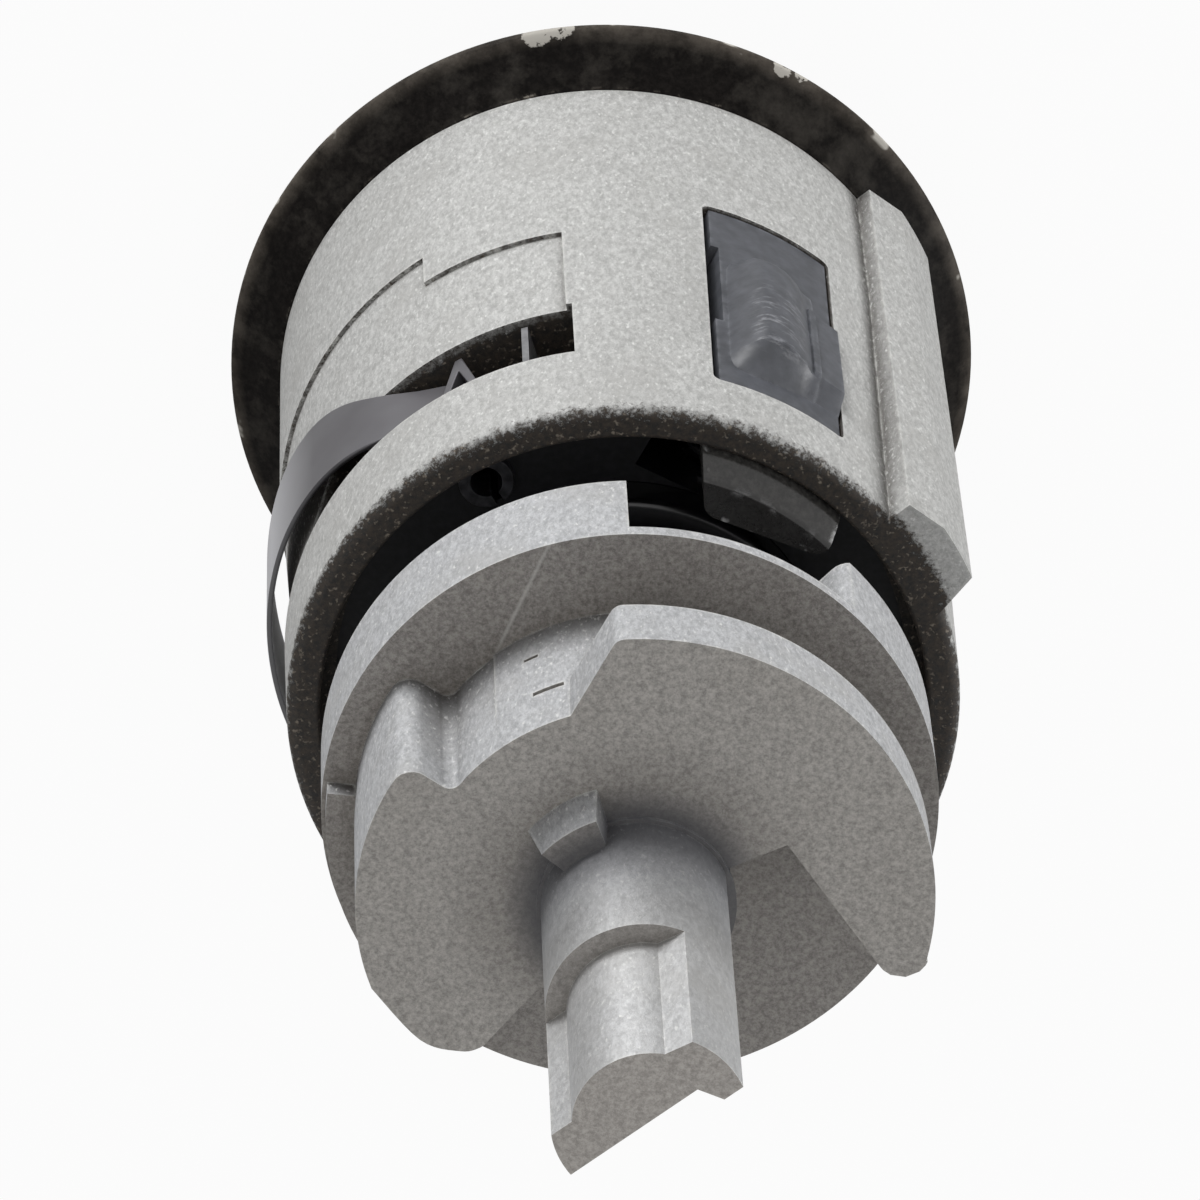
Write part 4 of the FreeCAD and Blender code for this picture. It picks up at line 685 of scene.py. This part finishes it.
def moulded_nylon():
    """Glass-filled nylon, moulded: slate grey with a satin skin, fine scuffs across the bump's
    crest, edges rubbed pale that partly stand for painted highlights, and wet with dark grease where it
    stands in the sleeve's mouth, painted darker there on what faces the rear as painted shade, with
    painted white highlights on its edges."""
    made, tree, place = begin("slate_grey_nylon")
    radius, height = distance(tree, place)
    grain = add(tree, "TexNoise", (place, 1 / (0.8 * MM), 3.0))
    share = add(tree, "MapRange", (grain, 0.35, 0.7))
    colour = add(tree, "Mix", (share, linear("#4E5055"), linear("#5E6066")), data_type="RGBA")

    # Scuffs that run across the bump's crest, and edges rubbed pale, partly wear and partly painted
    # highlight.
    stretched = add(tree, "VectorMath", (place, (1, 1, 3)), operation="MULTIPLY")
    scuffs = add(tree, "TexNoise", (stretched, 1 / (1.2 * MM), 4.0, 0.7))
    scuffs = add(tree, "MapRange", (scuffs, 0.52, 0.66))
    high = add(tree, "MapRange", (radius, 17.9 * MM, 18.3 * MM))
    ahead = add(tree, "MapRange", (height, 30 * MM, 33 * MM))
    crest = add(tree, "Math", (high, ahead), operation="MULTIPLY")
    scuffs = add(tree, "Math", (scuffs, crest), operation="MULTIPLY")
    scuffs = add(tree, "Math", (scuffs, 0.6), operation="MULTIPLY")
    colour = add(tree, "Mix", (scuffs, colour, linear("#A6A7AC")), data_type="RGBA")
    patchy = add(tree, "MapRange", (grain, 0.4, 0.65))
    rubbed = add(tree, "Math", (worn_edges(tree, 0.35), patchy), operation="MULTIPLY")
    rubbed = add(tree, "Math", (rubbed, 0.4), operation="MULTIPLY")
    colour = add(tree, "Mix", (rubbed, colour, linear("#9A9CA2")), data_type="RGBA")

    # Grease in the sleeve's mouth: painted shade darkens what faces the rear, and painted white highlights
    # stand as wet glints on the edges.
    oil = add(tree, "TexNoise", (place, 1 / (0.35 * MM), 4.0, 0.7))
    share = add(tree, "MapRange", (oil, 0.4, 0.68))
    grease = add(tree, "Mix", (share, linear("#454442"), linear("#6F6D6A")), data_type="RGBA")
    upward = add(tree, "MapRange", (rearward(tree), 0.35, 0.8))
    upward = add(tree, "Math", (upward, 0.85), operation="MULTIPLY")
    grease = add(tree, "Mix", (upward, grease, linear("#0E0C0B")), data_type="RGBA")
    glints = add(tree, "TexNoise", (place, 1 / (1.1 * MM)))
    glints = add(tree, "MapRange", (glints, 0.54, 0.6))
    glints = add(tree, "Math", (worn_edges(tree, 0.5), glints), operation="MULTIPLY")
    grease = add(tree, "Mix", (glints, grease, linear("#D8D8D8")), data_type="RGBA")
    wet = add(tree, "MapRange", (height, 40.9 * MM, 41.6 * MM))
    colour = add(tree, "Mix", (wet, colour, grease), data_type="RGBA")
    roughness = add(tree, "MapRange", {"Value": wet, "To Min": 0.4, "To Max": 0.25})
    return finish(made, tree, colour, roughness, oil, strength=0.3)


# The sliding plate, and the slanted block at its rear end.
latch = join(
    block(11.8, 15.0, -4.5, 4.5, LATCH_FRONT, 37.35, "nylon_latch"),
    block(12.2, 15.0, -4.1, 2.0, 37.3, LATCH_REAR),
)
keep_inside(latch, disc(LATCH_CREST, LATCH_FRONT - 0.1, LATCH_REAR + 0.1))
plan = [(15.6, 4.0)]
plan += eased((15.6, 4.0), (12.0, 2.0), (12.4, -4.1), 0.9)
plan += eased((12.0, 2.0), (12.6, -4.5), (15.6, -4.5), 0.9)
plan += [(15.6, -4.5)]
mouth_block = prism(plan, 41.55, 46.4)
slope = eased((15.1, 41.5), (15.1, 45.1), (13.8, 46.5), 1.2)
slope += eased((15.1, 45.1), (13.8, 46.5), (1, 46.5), 1.0)
keep_inside(mouth_block, revolved([(1.0, 41.5), (15.1, 41.5), *slope, (1.0, 46.5)]))

# The field with its side notch, the shelf and bead along one side, and the domed bump.
field = block(LATCH_ROOT, 17.5, FIELD_LOW, FIELD_HIGH, 21.25, 40.85)
keep_inside(field, revolved([(1.0, 21.0), (17.2, 21.0), (16.85, 41.0), (1.0, 41.0)]))
cut(field, block(15.5, 18.0, 2.9, 3.5, 25.4, 33.8))
shelf = keep_inside(block(LATCH_ROOT, LATCH_TOP, FIELD_LOW, SHELF_HIGH, 28.7, 38.6), revolved(SHELF))
raised = [(r + BEAD_RISE if r > 2 else r, z) for r, z in SHELF]
bead = keep_inside(block(LATCH_ROOT, LATCH_TOP, BEAD_LOW, BEAD_HIGH, 28.9, 38.4), revolved(raised))
bump = pillow(curve(BUMP_ACROSS, 4), curve(BUMP_ALONG, 4), BUMP_FOOT, BUMP_HEIGHT)
join(latch, mouth_block, field, shelf, bead, bump)
placed(latch, LATCH_ANGLE)
dress(rounded(cleaned(latch), 0.35, 3), "latch", moulded_nylon(), "retaining_latch")

# Drawn wire: bright and smooth along its length.
bright_steel = plain("drawn_spring_wire", "#8C8D90", "#B4B5B8", 0.6, 0.3, 0.9)
paint(bright_steel, "latch_spring")

# Actuator: one zinc die casting, tumbled like the sleeve and pinned to the plug. From the front:
# the neck, the flange with its cut sector and pad, the two-level cam with the groove under its
# plate, the stud, and the half-round drive tail, which its work has burnished.
NECK_RADIUS = 8.52
NECK_FRONT = 39.15
FLANGE_RADIUS = 15.22
FLANGE_FRONT = 50.0
FLANGE_REAR = 55.8
OPENING_RADIUS = 10.6
OPENING_FLOOR = 0.8
PAD_HEIGHT = 1.2
CAM_REAR = 65.4
PLATE_FRONT = 61.8
CORE = 10.85
PLATE = 14.48
LOBE = 13.6
LOBE_ANGLE = -34.6
PATCH_RISE = 0.12
STUD_FOOT = 6.8
STUD_TOP = 6.1
STUD_BACK = 4.5
STUD_HEIGHT = 2.1
COLLAR = 4.85
TAIL = 4.65
TAIL_TURN = -51.8
TAIL_LENGTH = 20.6
TAIL_STEP = 10.2
TAIL_RECESS = 3.65
LAP = 0.5


def actuator_casting():
    """The actuator's own skin: painted shade makes its rear faces warmer and darker and darkens the tail's
    root, with a pale flow line on the flange and the tail polished by what it drives, its far end
    lightened as a painted highlight."""
    made, tree, place, colour, roughness, speckle = cast_zinc(
        "tumbled_zinc_actuator", "#CDCED0", "#A2A3A5", "#AFAEAC", "#4A4643",
    )
    radius, height = distance(tree, place)
    polish = add(tree, "MapRange", (height, 68 * MM, 73 * MM))
    # Painted highlight: the tail's far end is lightened towards white.
    polished = add(tree, "Math", (polish, 0.3), operation="MULTIPLY")
    colour = add(tree, "Mix", (polished, colour, linear("#F4F4F2")), data_type="RGBA")

    # Painted shade: rear faces are warmer and darker, and the flange's more so than the cam's.
    rear = add(tree, "MapRange", (rearward(tree), 0.85, 0.98))
    rear = add(tree, "Math", (rear, 0.8), operation="MULTIPLY")
    share = add(tree, "MapRange", (speckle, 0.38, 0.62))
    rear_shade_colour = add(tree, "Mix", (share, linear("#948F89"), linear("#CCC7C0")), data_type="RGBA")
    deep = add(tree, "Mix", (share, linear("#736D67"), linear("#ABA59E")), data_type="RGBA")
    flange_shade = add(tree, "MapRange", (height, 64 * MM, 57 * MM))
    rear_shade_colour = add(tree, "Mix", (flange_shade, rear_shade_colour, deep), data_type="RGBA")
    colour = add(tree, "Mix", (rear, colour, rear_shade_colour), data_type="RGBA")

    # Painted shade on the cam's rear face, round the tail.
    shaded = add(tree, "MapRange", (radius, 9.5 * MM, 5.0 * MM))
    on_cam = add(tree, "MapRange", (height, 65.0 * MM, 65.3 * MM))
    shaded = add(tree, "Math", (shaded, on_cam), operation="MULTIPLY")
    shaded = add(tree, "Math", (shaded, rear), operation="MULTIPLY")
    shaded = add(tree, "Math", (shaded, 0.5), operation="MULTIPLY")
    colour = add(tree, "Mix", (shaded, colour, linear("#4F4843")), data_type="RGBA")

    # A straight flow line, where two streams of metal met in the flange.
    off_line = add(tree, "VectorMath", (place, (0.9197, -0.3926, 0)), operation="DOT_PRODUCT")
    off_line = add(tree, "Math", (off_line, -9.59 * MM), operation="ADD")
    off_line = add(tree, "Math", (off_line,), operation="ABSOLUTE")
    line = add(tree, "MapRange", (off_line, 0.14 * MM, 0.02 * MM))
    side = add(tree, "SeparateXYZ", (place,), out="Y")
    outer = add(tree, "MapRange", (side, -8.0 * MM, -10.0 * MM))
    line = add(tree, "Math", (line, outer), operation="MULTIPLY")
    below_cam = add(tree, "MapRange", (height, 57.5 * MM, 56.5 * MM))
    line = add(tree, "Math", (line, below_cam), operation="MULTIPLY")
    line = add(tree, "Math", (line, rear), operation="MULTIPLY")
    line = add(tree, "Math", (line, 0.5), operation="MULTIPLY")
    colour = add(tree, "Mix", (line, colour, linear("#E4E2DE")), data_type="RGBA")

    # Painted shade darkens the tail towards its root, and its far end is smoother and more metallic.
    root = add(tree, "MapRange", (radius, 6.6 * MM, 5.0 * MM))
    low = add(tree, "MapRange", (height, 77.5 * MM, 67 * MM))
    root = add(tree, "Math", (root, low), operation="MULTIPLY")
    root = add(tree, "Math", (root, 0.75), operation="MULTIPLY")
    colour = add(tree, "Mix", (root, colour, linear("#55565B")), data_type="RGBA")
    metallic = add(tree, "MapRange", {"Value": polish, "To Min": 0.15, "To Max": 0.6})
    smooth = add(tree, "Math", (polish, 0.24), operation="MULTIPLY")
    roughness = add(tree, "Math", (roughness, smooth), operation="SUBTRACT")
    return finish(made, tree, colour, roughness, speckle, metallic, strength=0.5)


def cam_outline():
    """Outline of the cam's rear face, its corners eased as the tool's are."""
    corner = polar(7.95, -155.6)
    points = eased(corner, polar(PLATE, -202.7), polar(PLATE, -196), 1.3)
    points += arc(PLATE, -192.5, -88.5)
    points += eased(polar(PLATE, -87), polar(PLATE, -85.4), polar(CORE, -72.2), 0.7)
    points += arc(CORE, -72.2, -40.5)
    points += eased(polar(CORE, -40), polar(CORE, LOBE_ANGLE), polar(LOBE, LOBE_ANGLE), 0.6)
    points += eased(polar(CORE, LOBE_ANGLE), polar(LOBE, LOBE_ANGLE), polar(LOBE, -28), 1.0)
    points += arc(LOBE, -28, 19)
    heel = [polar(*point) for point in ((LOBE, 20), (12.85, 35.8), (11.75, 44), (10.9, 46.8), (10.2, 46.8))]
    return [corner] + points + [tuple(point) for point in curve(heel, 6)] + [polar(6.7, 44.8), (0, 0)]


actuator = disc(NECK_RADIUS, NECK_FRONT, FLANGE_FRONT + 1, "die_cast_actuator")
opening = arc(OPENING_RADIUS, -89, -134)
opening += eased(polar(OPENING_RADIUS, -134), polar(FLANGE_RADIUS, -134), polar(16.0, -141), 1.2)
opening += [polar(16.5, -139), polar(21, -112), polar(16.5, -89)]
flange = disc(FLANGE_RADIUS, FLANGE_FRONT, FLANGE_REAR)
cut(flange, prism(opening, FLANGE_FRONT - LAP, FLANGE_REAR - OPENING_FLOOR))
pad = sector(9.8, 15.0, -6, 46, FLANGE_REAR - LAP, FLANGE_REAR + PAD_HEIGHT)

# The cam with the groove under its plate, and the low patch that fades out along its hub.
cam = prism(cam_outline(), FLANGE_REAR - LAP, CAM_REAR)
cut(cam, sector(CORE, 17.0, -212, -70, FLANGE_REAR - 1, PLATE_FRONT))
patch = sector(CORE - 0.3, CORE + PATCH_RISE, -84.6, -51.5, FLANGE_REAR - 0.4, CAM_REAR - LAP)
fading = [(9.0, 55.0), (CORE + 0.2, 55.0), (CORE + 0.2, 60.0), (CORE - 0.1, 65.2), (9.0, 65.2)]
keep_inside(patch, revolved(fading))

# The stud, and the tail with its stepped recess, on a shank that runs through the cam.
shank = disc(TAIL, FLANGE_REAR - LAP, CAM_REAR + 0.1)
collar = disc(COLLAR, CAM_REAR - 0.05, CAM_REAR + 0.25)
stud_foot = arc(STUD_FOOT, -73, -37, 3) + arc(STUD_BACK, -37, -73, 3)
stud_top = arc(STUD_TOP, -70, -40, 2.5) + arc(STUD_BACK, -40, -70, 2.5)
stud = tapered(stud_foot, stud_top, CAM_REAR - LAP, CAM_REAR + STUD_HEIGHT)
tail = prism(arc(TAIL, 90, -105) + [(-1.2, -3.4), (0, -2.75)], CAM_REAR + 0.1, CAM_REAR + TAIL_LENGTH)
recess = arc(TAIL_RECESS, 52, -48) + [polar(TAIL, -62)] + arc(5.6, -66, 64) + [polar(TAIL, 61)]
cut(tail, prism(recess, CAM_REAR + TAIL_STEP, CAM_REAR + 21))
placed(tail, TAIL_TURN)
for part in (flange, pad, cam, patch, shank, collar, stud, tail):
    join(actuator, part)

# Two shallow flaws in the hub, and the neck's slot for the plug's tongue.
cut(
    actuator,
    sector(10.7, 11.2, -71, -62.5, 61.9, 62.2), sector(10.74, 11.2, -64.5, -60.5, 58.2, 58.45),
    block(-4.55, 4.55, -2.05, 2.05, 39.0, 46.65),
)
dress(rounded(cleaned(actuator), 0.28, 3), "plug", actuator_casting(), "actuator")

# Plug and what turns with it: the plug is machined from zinc, its face cap is pressed from polished
# steel and crimped on, and the shutter, pins and clip are oiled steel. The shutter's coil is wire.

# Turned and milled zinc: warm grey and half glossy.
paint(plain("machined_plug_zinc", "#9A978F", "#B2AFA8", 0.5, 0.4, 0.6), "key_plug")

# Pressed and polished steel: bright as a mirror.
paint(plain("polished_pressed_steel", "#B8B9BB", "#C8C9CB", 2.0, 0.2, 1.0), "face_cap")
paint(pin_steel, "shutter", "shutter_pin", "retaining_clip", "cross_pin")
paint(bright_steel, "shutter_spring")

# Wafers: seven tumblers stamped from sheet brass, warm yellow and slightly dull. They slide in the
# plug's slots, and a small coil of bright wire under its lug pushes each one out.
brass = plain("stamped_brass", "#B08D48", "#C9A860", 0.6, 0.35, 0.9)
for number in range(1, 8):
    paint(brass, "wafer_%d" % number)
    paint(bright_steel, "wafer_spring_%d" % number)

# Studio: a pale paper floor under the bezel, three soft lamps and a white room. The camera sees the
# floor and the room as white, while they light the part at a plain level.
FLOOR_HALF = 600
FLOOR_DROP = -0.02
CAMERA_GLOW = 0.95
ROOM_LIGHT = 0.3
AIM = Vector((0, 0, 0.045))


def softbox(name, place, size, power):
    """Square area lamp that faces the middle of the part."""
    lamp = bpy.data.lights.new(name, "AREA")
    lamp.size = size
    lamp.energy = power
    made = bpy.data.objects.new(name, lamp)
    bpy.context.scene.collection.objects.link(made)
    made.location = place
    made.rotation_mode = "QUATERNION"
    made.rotation_quaternion = (AIM - Vector(place)).to_track_quat("-Z", "Y")


floor = solid("floor", [
    (-FLOOR_HALF, -FLOOR_HALF, FLOOR_DROP), (FLOOR_HALF, -FLOOR_HALF, FLOOR_DROP),
    (FLOOR_HALF, FLOOR_HALF, FLOOR_DROP), (-FLOOR_HALF, FLOOR_HALF, FLOOR_DROP),
], [(0, 1, 2, 3)])
floor.visible_shadow = False
made, tree, _ = begin("pale_paper_floor")
paper = add(tree, "BsdfDiffuse", {"Color": linear("#F4F4F4")})
glow = add(tree, "Emission", {"Color": (1, 1, 1, 1), "Strength": 1.0})
seen = add(tree, "LightPath", out="Is Camera Ray")
share = add(tree, "Math", (seen, CAMERA_GLOW), operation="MULTIPLY")
both = add(tree, "MixShader", (share, paper, glow))
add(tree, "OutputMaterial", {"Surface": both})
floor.data.materials.append(made)

world = bpy.data.worlds.new("white_room")
bpy.context.scene.world = world
world.use_nodes = True
room = world.node_tree
room.nodes.clear()
clear = add(room, "LightPath", out="Is Camera Ray")
for ray in ("Is Glossy Ray", "Is Transmission Ray"):
    clear = add(room, "Math", (clear, add(room, "LightPath", out=ray)), operation="MAXIMUM")
level = add(room, "MapRange", {"Value": clear, "To Min": ROOM_LIGHT, "To Max": 1.0})
backdrop = add(room, "Background", {"Color": (1, 1, 1, 1), "Strength": level})
add(room, "OutputWorld", {"Surface": backdrop})

softbox("key_softbox", (0.2, -0.5, -0.2), size=0.3, power=2.6)
softbox("side_softbox", (-0.5, -0.02, 0.0), size=0.2, power=1.2)
softbox("fill_softbox", (0.1, -0.3, 0.6), size=0.4, power=0.4)

# Camera: a long lens above the tail, rolled so that the bezel is at the top of the picture. Its
# place and turn were solved from the photograph for a bezel of 40 mm.
LENS = 278.6
CAMERA_PLACE = Vector((0.0159, -0.2187, 0.4573))
CAMERA_BACK = Vector((0.0315, -0.458, 0.888)).normalized()
CAMERA_RIGHT = Vector((-0.9995, -0.0144, 0.028))
upward = CAMERA_BACK.cross(CAMERA_RIGHT).normalized()
sideways = upward.cross(CAMERA_BACK).normalized()
lens = bpy.data.cameras.new("camera")
lens.lens = LENS
lens.sensor_width = 36.0
lens.clip_start = 0.01
camera = bpy.data.objects.new("camera", lens)
bpy.context.scene.collection.objects.link(camera)
facing = Matrix((sideways, upward, CAMERA_BACK)).transposed().to_4x4()
camera.matrix_world = Matrix.Translation(CAMERA_PLACE) @ facing
bpy.context.scene.camera = camera
bpy.context.scene.view_settings.view_transform = "Standard"
